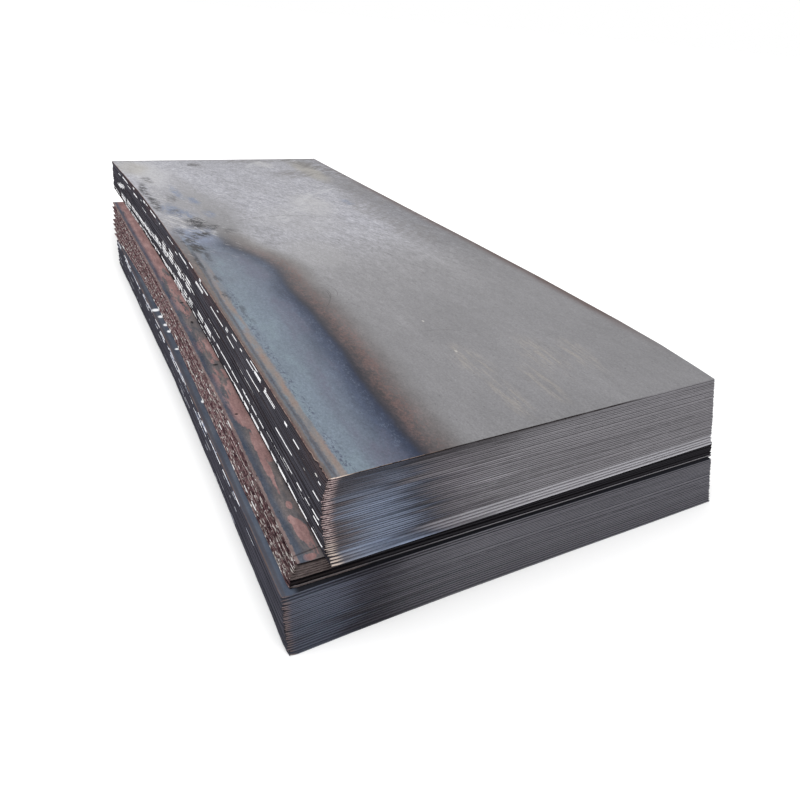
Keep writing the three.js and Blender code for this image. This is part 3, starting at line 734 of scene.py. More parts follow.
    # beyond the band: blue spots, pale wisps and dark feathery smears
    for cx, cy, rx, ry in ((0.086, 2.54, 0.035, 0.09), (0.252, 2.71, 0.018, 0.09), (0.272, 2.40, 0.020, 0.06), (1.17, 2.55, 0.022, 0.06), (0.20, 2.93, 0.020, 0.12), (0.13, 2.40, 0.05, 0.08)):
        base = g.mix(g.mul(g.spot(at, cx, cy, rx * 1.2, ry * 1.2, 0.7), g.step(g.noise(50, 16, 1, 4, 0.7, (4, 9, 9)), 0.36, 0.60), 0.75), base, g.tone(118, 134, 164))
    tail = g.mul(g.spot(at, 0.12, 2.02, 0.10, 0.16), g.step(g.noise(20, 7, 1, 5, 0.7, (9, 3, 9)), 0.36, 0.56))
    base = g.mix(g.mul(tail, 0.7), base, g.tone(146, 158, 184))
    wisp = g.noise(1, 1, 1, 6, 0.75, (3, 3, 9), vector=g.by(turned, 9.0, 60.0))
    fur = g.step(wisp, 0.48, 0.60)
    for cx, cy, rx, ry, amount in ((0.075, 2.31, 0.065, 0.10, 0.9), (0.20, 2.32, 0.03, 0.06, 0.9), (0.21, 2.03, 0.035, 0.06, 0.55), (0.97, 2.65, 0.06, 0.16, 0.5), (1.0, 3.75, 0.05, 0.12, 0.6), (0.08, 2.20, 0.05, 0.05, 0.7), (0.10, 3.4, 0.06, 0.25, 0.5), (0.07, 2.85, 0.04, 0.2, 0.6), (0.15, 2.12, 0.05, 0.05, 0.6)):
        base = g.mix(g.mul(g.spot(at, cx, cy, rx, ry), fur, amount), base, g.tone(216, 214, 214))
    soot = g.step(g.noise(1, 1, 1, 6, 0.74, (0, 4, 7), vector=g.by(turned, 15.0, 64.0)), 0.45, 0.52)
    for cx, cy, rx, ry, amount in ((0.165, 2.23, 0.055, 0.10, 1.0), (0.225, 2.14, 0.035, 0.05, 0.95), (0.140, 2.02, 0.055, 0.07, 1.0), (0.082, 1.82, 0.042, 0.06, 1.0), (0.060, 1.92, 0.030, 0.09, 0.9), (0.028, 3.02, 0.022, 0.20, 1.0), (0.034, 2.68, 0.022, 0.17, 1.0), (0.035, 1.62, 0.012, 0.10, 0.8), (0.09, 3.3, 0.03, 0.10, 0.7), (0.49, 3.76, 0.04, 0.05, 0.8), (0.10, 2.45, 0.03, 0.07, 0.6), (0.05, 2.1, 0.03, 0.06, 0.7), (0.30, 2.05, 0.03, 0.05, 0.5), (0.14, 2.78, 0.03, 0.09, 0.5)):
        base = g.mix(g.mul(g.spot(at, cx, cy, rx, ry), soot, amount), base, g.tone(54, 53, 58))
    tick = g.step(g.noise(1, 1, 1, 3, 0.7, (5, 1, 2), vector=g.by(turned, 16.0, 84.0)), 0.60, 0.67)
    base = g.mix(g.mul(tick, g.step(Y, 1.0, 2.1), 0.62), base, g.tone(116, 114, 115))
    tick = g.step(g.noise(1, 1, 1, 3, 0.7, (9, 4, 2), vector=g.by(turned, 13.0, 76.0)), 0.60, 0.68)
    base = g.mix(g.mul(tick, g.step(Y, 1.3, 2.1), 0.60), base, g.tone(216, 215, 219))
    # pale rubbed streaks near the right of the near half
    rub = g.noise(110, 9, 1, 5, 0.7, (5, 1, 6))
    rub_and_sheen = 0.0
    for cx, cy, rx, ry in ((0.71, 0.40, 0.05, 0.12), (0.70, 0.16, 0.04, 0.12), (0.98, 0.35, 0.07, 0.15), (1.12, 0.30, 0.05, 0.12), (0.86, 0.22, 0.04, 0.12)):
        rub_and_sheen = g.most(rub_and_sheen, g.spot(at, cx, cy, rx, ry))
    rub_and_sheen = g.mul(rub_and_sheen, g.step(rub, 0.45, 0.60))
    base = g.mix(g.mul(rub_and_sheen, 0.60), base, g.tone(172, 166, 160))
    # scratches: faint lines across, a few short ones
    hair = 0.0
    for x0, y0, x1, y1, width, amount in (
            (0.385, 2.235, 0.93, 2.205, 0.0050, 0.55), (0.454, 1.20, 0.404, 1.00, 0.0026, 0.75), (0.464, 1.185, 0.430, 1.045, 0.0022, 0.6), (0.487, 1.22, 0.487, 1.09, 0.0022, 0.55),
            (0.455, 1.03, 0.53, 0.95, 0.0024, 0.45), (0.892, 1.71, 0.905, 1.62, 0.0030, 0.7), (0.93, 1.55, 0.945, 1.48, 0.0030, 0.6), (0.67, 0.672, 0.86, 0.570, 0.0022, 0.45),
            (1.02, 1.9, 1.05, 1.80, 0.003, 0.6), (0.62, 1.42, 0.70, 1.44, 0.0022, 0.4), (0.55, 0.55, 0.58, 0.42, 0.0016, 0.4)):
        hair = g.most(hair, g.mul(g.stroke(x0, y0, x1, y1, width), amount))
    base = g.mix(g.mul(hair, g.step(g.noise(40, 30, 1, 2, 0.5, (3, 3, 8)), 0.34, 0.48)), base, g.tone(84, 80, 82))
    nick = g.most(g.most(g.spot(g.p, 0.708, 0.753, 0.004, 0.007), g.spot(g.p, 0.697, 0.490, 0.004, 0.008)), g.step(g.dots(3.1, 1.7, 1, (2.3, 3, 1)), 0.016, 0.008))
    base = g.mix(g.mul(nick, 0.8), base, g.tone(214, 210, 204))
    pits = g.step(g.dots(30, 16, 1, (7, 3, 2)), 0.10, 0.05)
    base = g.mix(g.mul(pits, 0.35), base, g.tone(88, 86, 88))
    # painted light: a lighter spot at the near right corner, where the plate bends down and would shade darker
    painted_light_spot = g.spot(at, 1.36, -0.02, 0.16, 0.12)
    base = g.scale(base, g.math("MULTIPLY_ADD", painted_light_spot, 0.09, 1.0))
    base = g.vary(base, grain, 0.30)
    rough = g.step(g.add(g.mul(cloud, 0.6), g.mul(streak, 0.4)), 0.25, 0.75, 0.42, 0.56)
    height = g.add(g.mul(grain, 0.5), g.mul(g.noise(60, 22, 10, 4, 0.6, (1, 1, 1)), 0.5))
    return g.done(base, rough, height, 0.30, 0.0004, 0.0)


def skin_middle():
    """The middle stack's ledge: a pale outer strip, a dark blue line, then rose
    with blue-grey patches."""
    g = Paint("mill_scale_middle", TOP_GAIN * 0.8, 0.0)
    Y = g.y
    e = g.add(g.inx, g.math("MULTIPLY_ADD", g.noise(30, 6, 1, 5, 0.68, (4, 1, 4)), 0.010, -0.005))
    e = g.add(e, g.math("MULTIPLY_ADD", g.noise(160, 70, 1, 3, 0.75, (4, 8, 1)), 0.014, -0.007))
    flat = g.vec(g.inx, Y, 0.0)
    isle = 0.0
    for cx, cy, rx, ry in ((0.054, 0.080, 0.019, 0.045), (0.042, 0.125, 0.008, 0.018), (0.058, 0.190, 0.009, 0.018), (0.046, 0.280, 0.007, 0.045), (0.050, 0.390, 0.013, 0.090), (0.064, 0.520, 0.024, 0.120), (0.062, 0.700, 0.026, 0.130), (0.040, -0.030, 0.020, 0.012)):
        isle = g.most(isle, g.spot(flat, cx, cy, rx, ry, 0.5))
    patch = g.add(g.noise(22, 4.2, 1, 5, 0.66, (6.4, 2.3, 2)), g.step(Y, 1.9, 2.4, -0.02, 0.10))
    patch = g.add(patch, g.step(Y, 0.85, 0.55, 0.0, -0.16))
    patch = g.add(patch, g.mul(isle, 0.26))
    patch = g.add(patch, g.math("MULTIPLY_ADD", g.noise(90, 26, 1, 4, 0.7, (1, 3, 6)), 0.16, -0.08))
    rose = g.ramp(g.noise(40, 9, 1, 4, 0.66, (2, 2, 6)), [(0.3, (145, 114, 113)), (0.5, (168, 135, 133)), (0.7, (187, 155, 152))])
    grey = g.ramp(g.noise(46, 10, 1, 4, 0.66, (8, 2, 6)), [(0.3, (92, 95, 103)), (0.48, (117, 112, 114)), (0.7, (144, 133, 131))])
    c = g.mix(g.step(g.add(patch, g.math("MULTIPLY_ADD", g.noise(120, 50, 1, 3, 0.7, (5, 3, 6)), 0.10, -0.05)), 0.45, 0.51), grey, rose)
    # the blue line bleeds inwards
    bleed = g.mul(g.step(e, 0.018, 0.042, 1.0, 0.0), 0.85)
    c = g.mix(bleed, c, g.ramp(g.noise(24, 5, 1, 4, 0.66, (5, 5, 1)), [(0.35, (60, 71, 89)), (0.65, (93, 101, 114))]))
    strip = g.step(e, 0.008, 0.012, 1.0, 0.0)
    c = g.mix(g.mul(strip, 0.95), c, g.ramp(g.noise(40, 10, 1, 4, 0.66, (1, 6, 6)), [(0.3, (117, 101, 101)), (0.7, (156, 137, 133))]))
    cross = g.mul(g.step(g.math("ABSOLUTE", g.add(g.add(Y, 0.012), g.mul(g.inx, -0.1))), 0.0040, 0.0015), 0.6)
    c = g.mix(cross, c, g.tone(52, 48, 50))
    spots = g.step(g.dots(40, 13, 1), 0.09, 0.04)
    for cx, cy, rx, ry in ((0.057, 1.525, 0.006, 0.014), (0.060, 1.76, 0.010, 0.008), (0.058, 1.10, 0.010, 0.007), (0.040, 0.72, 0.006, 0.006)):
        spots = g.most(spots, g.spot(flat, cx, cy, rx, ry))
    c = g.mix(g.mul(spots, 0.85), c, g.tone(44, 40, 42))
    c = g.vary(c, g.noise(160, 120, 40, 3, 0.66), 0.32)
    c = g.vary(c, g.noise(60, 14, 1, 4, 0.65, (3, 3, 3)), 0.20)
    rough = g.step(patch, 0.3, 0.7, 0.45, 0.6)
    return g.done(c, rough, g.noise(110, 50, 10, 4, 0.6, (2, 2, 2)), 0.35, 0.0004)


def skin_lower():
    """The lower stack's ledge: navy with a brownish outer line. It has painted shade where the stacks above stand over
    it, and painted highlights beside them."""
    g = Paint("mill_scale_lower", TOP_GAIN * 0.72, 0.0)
    e = g.add(g.inx, g.math("MULTIPLY_ADD", g.noise(24, 3, 1, 4, 0.6, (4, 1, 4)), 0.008, -0.004))
    c = g.ramp(g.noise(34, 6, 1, 5, 0.66, (6, 2, 2)), [(0.3, (67, 73, 86)), (0.5, (81, 87, 99)), (0.7, (97, 101, 110))])
    c = g.mix(g.mul(g.step(g.y, 0.9, 0.2), 0.25), c, g.ramp(g.noise(60, 12, 1, 4, 0.7, (2, 2, 5)), [(0.3, (78, 92, 112)), (0.7, (98, 110, 128))]))
    c = g.mix(g.mul(g.band(e, 0.006, 0.016, 0.004), 0.6), c, g.tone(76, 71, 74))
    c = g.mix(g.mul(g.step(e, 0.003, 0.007, 1.0, 0.0), g.step(g.noise(1, 16, 1, 3, 0.6, (3, 3, 7)), 0.34, 0.52, 0.25, 0.85)), c, g.ramp(g.noise(40, 9, 1, 4, 0.6, (1, 6, 6)), [(0.3, (92, 78, 74)), (0.7, (124, 106, 98))]))
    # painted shade where the stacks above stand over the ledge
    c = g.mix(g.mul(g.step(e, 0.030, 0.055), 0.92), c, g.tone(30, 29, 32))
    # painted highlights: bright glints beside the stack above
    flat = g.vec(g.inx, g.y, 0.0)
    ledge_glints = 0.0
    for cx, cy, rx, ry in ((0.034, 0.935, 0.006, 0.010), (0.030, 1.40, 0.009, 0.008), (0.032, 1.585, 0.008, 0.012), (0.031, 1.66, 0.009, 0.013), (0.028, 1.76, 0.011, 0.014), (0.020, 1.845, 0.018, 0.016)):
        ledge_glints = g.most(ledge_glints, g.spot(flat, cx, cy, rx, ry))
    c = g.mix(ledge_glints, c, g.tone(236, 238, 242))
    c = g.vary(c, g.noise(160, 120, 40, 3, 0.66), 0.14)
    return g.done(c, g.step(g.noise(12, 5, 1, 4, 0.6), 0.3, 0.7, 0.5, 0.65), g.noise(110, 50, 10, 4, 0.6, (2, 2, 2)), 0.3, 0.0004)


def painted_edge_shading(g, colour, left, lo=0.42, hi=0.94, below=1.0):
    """Painted shade towards the rounded upper arris, which faces the sky and catches more light, and painted light on
    the lower half by below.
    """
    return g.scale(g.scale(colour, g.step(g.high, lo, hi, 1.0, left)), g.step(g.high, 0.0, 0.45, below, 1.0))


def painted_seam_shade(g, colour, lo=0.10, hi=0.93, amount=0.75):
    """Painted shade at the top and bottom arris of each plate's edge, where the gaps between the plates fall dark."""
    mid = g.mul(g.step(g.high, 0.0, lo + 0.12), g.step(g.high, 1.0, hi - 0.12))
    return g.scale(colour, g.math("MULTIPLY_ADD", mid, amount, 1 - amount))


def flashes(g, seed, lo=0.22, hi=0.97):
    """Painted highlights where the rounded edge of a plate would shine, from the attribute flash."""
    ragged = g.noise(1, 1, 1, 3, 0.7, (seed, 0, 0), vector=g.vec(g.mul(g.row, 3.7), g.mul(g.y, 34.0), g.mul(g.high, 0.8)))
    on = g.step(g.add(g.flash, g.math("MULTIPLY_ADD", ragged, 0.9, -0.45)), 0.46, 0.58)
    flick = g.noise(60, 130, 300, 3, 0.7, (1, 2, seed))
    return g.mul(on, g.band(g.high, lo, hi, 0.09), g.step(flick, 0.24, 0.40, 0.82, 1.0))


def side_upper(name, seed, shine=1.0):
    """A long edge of the upper stack: near-black scale with painted highlights, bright flashes."""
    g = Paint(name, LEFT_GAIN, 0.0)
    Y, Z, row = g.y, g.z, g.row
    c = g.ramp(g.noise(4, 3, 40, 5, 0.6, (seed, 1, 2)), [(0.3, (67, 66, 73)), (0.5, (81, 80, 88)), (0.7, (96, 94, 102))])
    own = g.noise(1, 1, 1, 1, 0.5, (0, seed, 0), vector=g.vec(g.mul(row, 5.31), g.mul(Y, 0.7), 0.5))
    c = g.vary(c, own, 0.22)
    c = g.scale(c, g.step(row, 3.4, 4.6, 0.45, 1.0))
    brown = g.mul(g.most(g.mul(g.step(Z, 0.40, 0.45), 0.8), g.step(Z, 0.250, 0.225)), g.step(g.noise(3, 3.2, 9, 4, 0.6, (seed, 7, 2)), 0.44, 0.60), 0.60)
    c = g.mix(brown, c, g.tone(88, 64, 63))
    c = painted_seam_shade(g, c, amount=0.80)
    c = g.vary(c, g.noise(60, 90, 400, 3, 0.66, (4, 4, seed)), 0.20)
    # the topmost plate's upper arris: a reddish-brown line, and on it a tan line, partly rubbed metal and partly
    # painted highlight
    edge = g.mul(g.band(row, 38.5, 39.5, 0.1), g.step(g.high, 0.30, 0.60))
    c = g.mix(g.mul(edge, 0.8), c, g.tone(98, 74, 72))
    arris = g.mul(edge, g.step(g.high, 0.60, 0.86), g.step(g.noise(1, 60, 1, 4, 0.7, (seed, 2, 2)), 0.40, 0.54))
    c = g.mix(g.mul(arris, 0.85), c, g.ramp(g.noise(1, 22, 1, 3, 0.6, (3, seed, 1)), [(0.35, (122, 102, 96)), (0.65, (176, 160, 150))]))
    rough = g.step(g.noise(20, 30, 200, 3, 0.6), 0.3, 0.7, 0.45, 0.65)
    # painted highlights: the flashes, near white
    c = g.mix(g.mul(flashes(g, seed), shine), c, g.ramp(g.noise(1, 26, 90, 2, 0.6, (seed, 5, 5)), [(0.35, (250, 251, 255)), (0.6, (280, 280, 282))]))
    # painted highlights: small bright specks near the near corner; painted shade: a black line along the foot
    speck = g.mul(g.step(g.dots(1, 14, 90, (seed, 2, 5)), 0.17, 0.10), g.step(g.noise(1, 14, 90, 1, 0.5, (seed, 6, 1)), 0.52, 0.56), g.band(Y, 0.02, 0.62, 0.06), g.step(row, 8, 12))
    c = g.mix(g.mul(speck, shine), c, g.tone(246, 244, 240))
    foot = g.mul(g.band(row, -0.5, 0.5, 0.1), g.step(g.high, 0.40, 0.26))
    c = g.mix(g.mul(foot, 0.92), c, g.tone(24, 22, 24))
    return g.done(c, rough, g.noise(60, 40, 700, 4, 0.65), 0.5, 0.0005)


def side_middle(name, seed):
    """A long edge of the middle stack: rough, rose-brown, with pale flecks."""
    g = Paint(name, LEFT_GAIN, 0.0)
    Y, Z = g.y, g.z
    c = g.ramp(g.noise(1, 34, 120, 5, 0.70, (seed, 1, 2)), [(0.33, (50, 34, 38)), (0.43, (100, 75, 79)), (0.54, (148, 116, 119)), (0.67, (192, 160, 161))])
    c = g.scale(c, g.step(Y, -0.05, 0.7, 0.60, 1.10))
    c = painted_edge_shading(g, painted_seam_shade(g, c, amount=0.15), 0.60, 0.50, 0.92, below=1.25)
    pale = g.noise(1, 30, 95, 4, 0.70, (seed, 6, 2))
    far = g.mul(g.step(pale, 0.52, 0.62), g.step(Y, 0.35, 0.9, 0.75, 1.0))
    c = g.mix(g.mul(far, 0.90), c, g.ramp(g.noise(1, 40, 200, 2, 0.5, (2, 2, seed)), [(0.35, (160, 148, 144)), (0.65, (216, 214, 208))]))
    fleck = g.noise(1, 1, 1, 3, 0.68, (0, seed, 0), vector=g.vec(g.mul(g.row, 3.7), g.mul(Y, 36.0), g.mul(g.high, 1.2)))
    bright = g.mul(g.step(fleck, 0.57, 0.61), g.band(g.high, 0.35, 0.90, 0.12), g.step(Y, 0.9, 0.4, 0.55, 1.0))
    c = g.mix(bright, c, g.tone(236, 230, 228))
    # painted highlights: the flashes, near white
    c = g.mix(flashes(g, seed), c, g.tone(246, 246, 246))
    rough = g.step(g.noise(20, 30, 200, 3, 0.6), 0.3, 0.7, 0.6, 0.85)
    return g.done(c, rough, g.noise(140, 120, 700, 4, 0.7), 0.8, 0.0008)


def side_lower(name, seed):
    """A long edge of the lower stack: smooth charcoal, with painted highlights near its top."""
    g = Paint(name, LEFT_GAIN, 0.0)
    Y, Z, row = g.y, g.z, g.row
    c = g.ramp(g.noise(4, 3, 40, 5, 0.6, (seed, 1, 5)), [(0.3, (70, 69, 78)), (0.5, (76, 75, 84)), (0.7, (82, 81, 91))])
    own = g.noise(1, 1, 1, 1, 0.5, (0, seed, 0), vector=g.vec(g.mul(row, 5.31), g.mul(Y, 0.5), 0.5))
    c = g.vary(c, own, 0.10)
    c = painted_seam_shade(g, c, amount=0.25)
    c = g.vary(c, g.noise(60, 90, 400, 3, 0.66, (4, 4, seed)), 0.12)
    # painted highlights: the flashes, strongest on the top rows
    c = g.mix(g.mul(flashes(g, seed), g.step(row, 20.5, 22.5, 0.35, 1.0)), c, g.ramp(g.noise(1, 30, 90, 2, 0.6, (seed, 5, 5)), [(0.35, (160, 168, 192)), (0.6, (270, 271, 276))]))
    rough = g.step(g.noise(20, 30, 200, 3, 0.6), 0.3, 0.7, 0.45, 0.62)
    return g.done(c, rough, g.noise(60, 40, 700, 4, 0.65), 0.4, 0.0004)


def wandering_dark_lines(g, colour, lines):
    """Thin dark lines that wander across an end. Each is the height at the left and at the right, where it starts and
    stops, and its depth."""
    for k, (z0, z1, x0, x1, deep) in enumerate(lines):
        wave = g.noise(1, 1, 1, 3, 0.6, (k * 2.7, 1.3, 4.1), vector=g.vec(g.mul(g.inx, 4.5), 0.0, 0.0))
        at = g.add(g.math("MULTIPLY_ADD", g.inx, (z1 - z0) / 1.5, z0), g.math("MULTIPLY_ADD", wave, 0.020, -0.010))
        near = g.step(g.math("ABSOLUTE", g.sub(g.z, at)), 0.0038, 0.0012)
        on = g.mul(near, g.band(g.inx, x0, x1, 0.06), g.step(g.noise(26, 1, 60, 3, 0.6, (k, 2, 2)), 0.32, 0.50))
        colour = g.scale(colour, g.math("MULTIPLY_ADD", on, -deep, 1.0))
    return colour


def streaks(g, X, seed, big, small):
    """X moved to and fro, row by row, so that a stain ends in tongues."""
    wide = g.noise(1, 1, 1, 2, 0.5, (seed, 4, 0), vector=g.vec(g.mul(g.row, 0.33), g.mul(g.inx, 0.8), 0.0))
    thin = g.noise(1, 1, 1, 2, 0.6, (seed, 9, 0), vector=g.vec(g.mul(g.row, 1.7), g.mul(g.inx, 1.6), 0.0))
    return g.add(X, g.add(g.math("MULTIPLY_ADD", wide, big, -big / 2), g.math("MULTIPLY_ADD", thin, small, -small / 2)))


def steps_upper():
    """Broad faces of the upper stack that show only as narrow steps where the
    plates are out of line."""
    g = Paint("scale_between_upper", TOP_GAIN, 0.1)
    X, Y = g.inx, g.y
    c = g.ramp(g.noise(9, 3, 1, 5, 0.6, (1, 5, 2), 0.5), [(0.3, (56, 56, 60)), (0.7, (84, 84, 88))])
    left = g.ramp(g.noise(20, 3.2, 9, 4, 0.6, (1, 7, 2)), [(0.42, (66, 64, 72)), (0.70, (84, 68, 68))])
    c = g.mix(g.step(X, 0.030, 0.015), c, left)
    u = streaks(g, X, 2.3, 0.18, 0.24)
    end = g.ramp(g.math("MULTIPLY", u, 1.25, clamp=True), [
        (0.0, (80, 74, 76)), (0.09, (102, 106, 118)), (0.17, (112, 120, 137)), (0.26, (105, 113, 130)),
        (0.35, (76, 79, 90)), (0.42, (90, 88, 93)), (0.52, (107, 104, 109)), (0.66, (116, 114, 118)), (1.0, (121, 119, 123))])
    end = g.scale(end, g.step(g.row, 3.6, 3.4, 1.12, 1.55))
    end = g.vary(end, g.noise(160, 300, 1, 3, 0.6, (1, 0, 3)), 0.3)
    c = g.mix(g.mul(g.step(Y, 0.010, 0.004), g.step(X, 0.02, 0.04)), c, end)
    c = g.vary(c, g.noise(300, 300, 40, 2, 0.6), 0.15)
    rough = g.step(g.noise(12, 5, 1, 4, 0.6, (3, 3, 3)), 0.3, 0.7, 0.42, 0.6)
    return g.done(c, rough, g.noise(120, 60, 10, 4, 0.6, (2, 2, 2)), 0.3, 0.0004)


def steps_middle():
    """The same for the middle stack, whose left edge steps out plate by plate."""
    g = Paint("scale_between_middle", TOP_GAIN, 0.0)
    Y, row = g.y, g.row
    c = g.ramp(g.noise(130, 34, 1, 5, 0.70, (3, 1, 2)), [(0.30, (44, 29, 33)), (0.42, (74, 54, 58)), (0.54, (108, 84, 87)), (0.70, (150, 122, 123))])
    c = g.scale(c, g.step(Y, -0.05, 0.7, 0.60, 1.10))
    pale = g.noise(110, 30, 1, 4, 0.70, (3, 6, 2))
    c = g.mix(g.mul(g.step(pale, 0.53, 0.62), g.step(Y, 0.35, 0.9, 0.60, 1.0), 0.80), c, g.tone(158, 148, 144))
    fleck = g.noise(1, 1, 1, 3, 0.68, (7, 3, 0), vector=g.vec(g.mul(row, 3.7), g.mul(Y, 36.0), g.mul(g.inx, 130.0)))
    c = g.mix(g.step(fleck, 0.60, 0.64), c, g.tone(214, 208, 206))
    inner = g.step(g.inx, 0.030, 0.040)
    c = g.mix(inner, c, g.tone(54, 46, 45))
    # near the near end, painted shade: black on the two lowest plates and the topmost, darker beyond the corner under
    # the stack above
    end = g.ramp(g.noise(60, 90, 1, 5, 0.68, (2, 1, 2)), [(0.3, (72, 63, 63)), (0.5, (100, 90, 88)), (0.7, (126, 114, 111))])
    end = g.mix(g.most(g.step(row, 1.6, 1.4), g.step(row, 6.4, 6.6)), end, g.tone(22, 20, 22))
    end = g.mix(g.step(g.inx, 0.09, 0.15), end, g.tone(44, 42, 46))
    c = g.mix(g.step(Y, -0.034, -0.042), c, g.vary(end, g.noise(40, 40, 1, 3, 0.6, (5, 5, 2)), 0.15))
    c = g.vary(c, g.noise(300, 300, 40, 2, 0.6), 0.15)
    return g.done(c, g.step(g.noise(12, 5, 1, 4, 0.6, (3, 3, 3)), 0.3, 0.7, 0.5, 0.7), g.noise(120, 60, 10, 4, 0.6, (2, 2, 2)), 0.3, 0.0004)


def steps_lower():
    """The same for the lower stack."""
    g = Paint("scale_between_lower", TOP_GAIN, 0.05)
    c = g.ramp(g.noise(9, 3, 1, 5, 0.6, (1, 5, 2), 0.5), [(0.3, (56, 57, 64)), (0.7, (76, 77, 86))])
    u = streaks(g, g.inx, 1.1, 0.20, 0.28)
    end = g.ramp(g.math("MULTIPLY", u, 1.6, clamp=True), [
        (0.0, (75, 76, 86)), (0.12, (81, 85, 97)), (0.24, (78, 81, 93)), (0.36, (60, 60, 68)), (0.48, (62, 61, 67)), (0.62, (82, 81, 87)), (0.80, (92, 91, 97)), (1.0, (95, 94, 100))])
    end = g.vary(g.scale(end, 1.05), g.noise(160, 300, 1, 3, 0.6, (1, 0, 3)), 0.3)
    c = g.mix(g.step(g.y, -0.05, -0.08), c, end)
    c = g.vary(c, g.noise(300, 300, 40, 2, 0.6), 0.15)
    return g.done(c, g.step(g.noise(12, 5, 1, 4, 0.6, (3, 3, 3)), 0.3, 0.7, 0.45, 0.6), g.noise(120, 60, 10, 4, 0.6, (2, 2, 2)), 0.3, 0.0004)


def end_upper(name, seed, flip=False):
    """A sheared end of the upper stack: fine laminations, blue at the left."""
    g = Paint(name, FRONT_GAIN, 0.05)
    row, Z = g.row, g.z
    X = g.inx if not flip else g.math("MULTIPLY_ADD", g.inx, -1.0, 1.5)
    lam = g.noise(1, 1, 1, 3, 0.6, (seed, 0, 0), vector=g.vec(g.mul(row, 4.3), g.mul(g.inx, 1.3), 0.0))
    slow = g.noise(1, 1, 1, 4, 0.6, (seed, 4, 0), vector=g.vec(g.mul(row, 0.13), g.mul(g.inx, 3.0), 0.0))
    u = streaks(g, X, seed, 0.18, 0.24)
    # the blue reaches further in lower down
    u = g.add(u, g.step(Z, 0.25, 0.43, -0.035, 0.045))
    c = g.ramp(g.math("MULTIPLY", u, 1.25, clamp=True), [
        (0.0, (80, 74, 76)), (0.045, (88, 84, 88)), (0.09, (102, 106, 118)), (0.17, (112, 120, 137)), (0.26, (105, 113, 130)),
        (0.35, (76, 79, 90)), (0.42, (90, 88, 93)), (0.52, (107, 104, 109)), (0.66, (116, 114, 118)), (1.0, (121, 119, 123))])
    c = g.mix(g.mul(g.step(Z, 0.33, 0.42), g.step(u, 0.34, 0.14), 0.95), c, g.tone(66, 64, 69))
    c = g.mix(g.mul(g.step(Z, 0.32, 0.42), g.band(X, 0.30, 0.60, 0.10), 0.45), c, g.tone(84, 80, 84))
    heavy = g.band(row, -0.5, 3.5, 0.1)
    hc = g.ramp(g.math("MULTIPLY", u, 1.25, clamp=True), [
        (0.0, (112, 112, 120)), (0.08, (124, 132, 149)), (0.22, (113, 123, 143)), (0.34, (86, 90, 102)), (0.44, (122, 120, 126)), (0.6, (143, 142, 147)), (1.0, (150, 149, 154))])
    c = g.mix(heavy, c, hc)
    c = g.vary(c, lam, 0.15)
    c = g.vary(c, slow, 0.18)
    dip = g.mul(g.step(lam, 0.44, 0.37), g.band(X, 0.12, 0.60, 0.12))
    c = g.scale(c, g.math("MULTIPLY_ADD", dip, -0.48, 1.0))
    pale = g.mul(g.step(lam, 0.58, 0.66), g.band(X, 0.10, 0.70, 0.12))
    c = g.scale(c, g.math("MULTIPLY_ADD", pale, 0.22, 1.0))
    c = g.mix(heavy, painted_edge_shading(g, painted_seam_shade(g, g.scale(c, 1.02), amount=0.20), 0.86), painted_edge_shading(g, c, 0.72, below=1.10))
    # painted shade: the topmost plate's end is dark right under its arris
    top = g.band(row, 38.5, 39.5, 0.1)
    dark = g.mul(top, g.band(X, 0.07, 1.10, 0.10), g.step(g.noise(1, 1, 1, 4, 0.66, (1, seed, 2), vector=g.vec(g.mul(g.inx, 14.0), 0.0, 0.0)), 0.30, 0.55, 0.65, 1.0))
    c = g.mix(dark, c, g.tone(40, 34, 36))
    # painted shade under the topmost plate: on the upper half of the plate below it, and on the plates lower down, most
    # towards the left
    under = g.mul(g.band(row, 37.5, 38.5, 0.1), g.step(g.high, 0.30, 0.60), g.band(X, 0.10, 0.90, 0.10))
    c = g.mix(g.mul(under, 0.55), c, g.tone(44, 38, 40))
    below = g.mul(g.step(row, 32.0, 38.0), g.step(X, 0.02, 0.10), g.step(X, 0.55, 1.20, 0.34, 0.08))
    c = g.scale(c, g.math("MULTIPLY_ADD", below, -1.0, 1.0))
    c = g.vary(c, g.noise(160, 1, 700, 3, 0.6, (1, 0, seed)), 0.18)
    c = g.vary(c, g.noise(34, 1, 150, 3, 0.7, (4, 0, seed)), 0.16)
    if not flip:
        c = wandering_dark_lines(g, c, ((0.338, 0.334, 0.78, 1.46, 0.34), (0.312, 0.304, 0.36, 1.46, 0.36), (0.356, 0.352, 0.30, 0.75, 0.30), (0.286, 0.290, 0.34, 1.0, 0.30)))
    # the worn corner
    e = g.add(X, g.math("MULTIPLY_ADD", g.noise(1, 1, 1, 2, 0.6, (5, 0, seed), vector=g.vec(g.mul(row, 2.3), 0.0, 0.0)), 0.018, -0.009))
    worn = g.step(e, 0.018, 0.046, 1.0, 0.0)
    tan = g.ramp(g.noise(130, 1, 300, 3, 0.7, (2, 2, seed)), [(0.32, (92, 72, 74)), (0.5, (148, 130, 130)), (0.68, (196, 180, 178))])
    tan = g.mix(g.mul(g.step(Z, 0.30, 0.24), 0.6), tan, g.tone(196, 184, 172))
    tan = painted_seam_shade(g, tan, lo=0.16, hi=0.86, amount=0.60)
    c = g.mix(worn, c, tan)
    # painted highlight on the topmost plate's arris at the near corner
    glint = g.mul(top, g.step(g.high, 0.35, 0.60), g.step(X, 0.085, 0.045), g.step(g.noise(90, 1, 1, 2, 0.6, (seed, 3, 3)), 0.30, 0.45, 0.35, 1.0))
    c = g.mix(g.mul(glint, 0.9), c, g.tone(208, 192, 180))
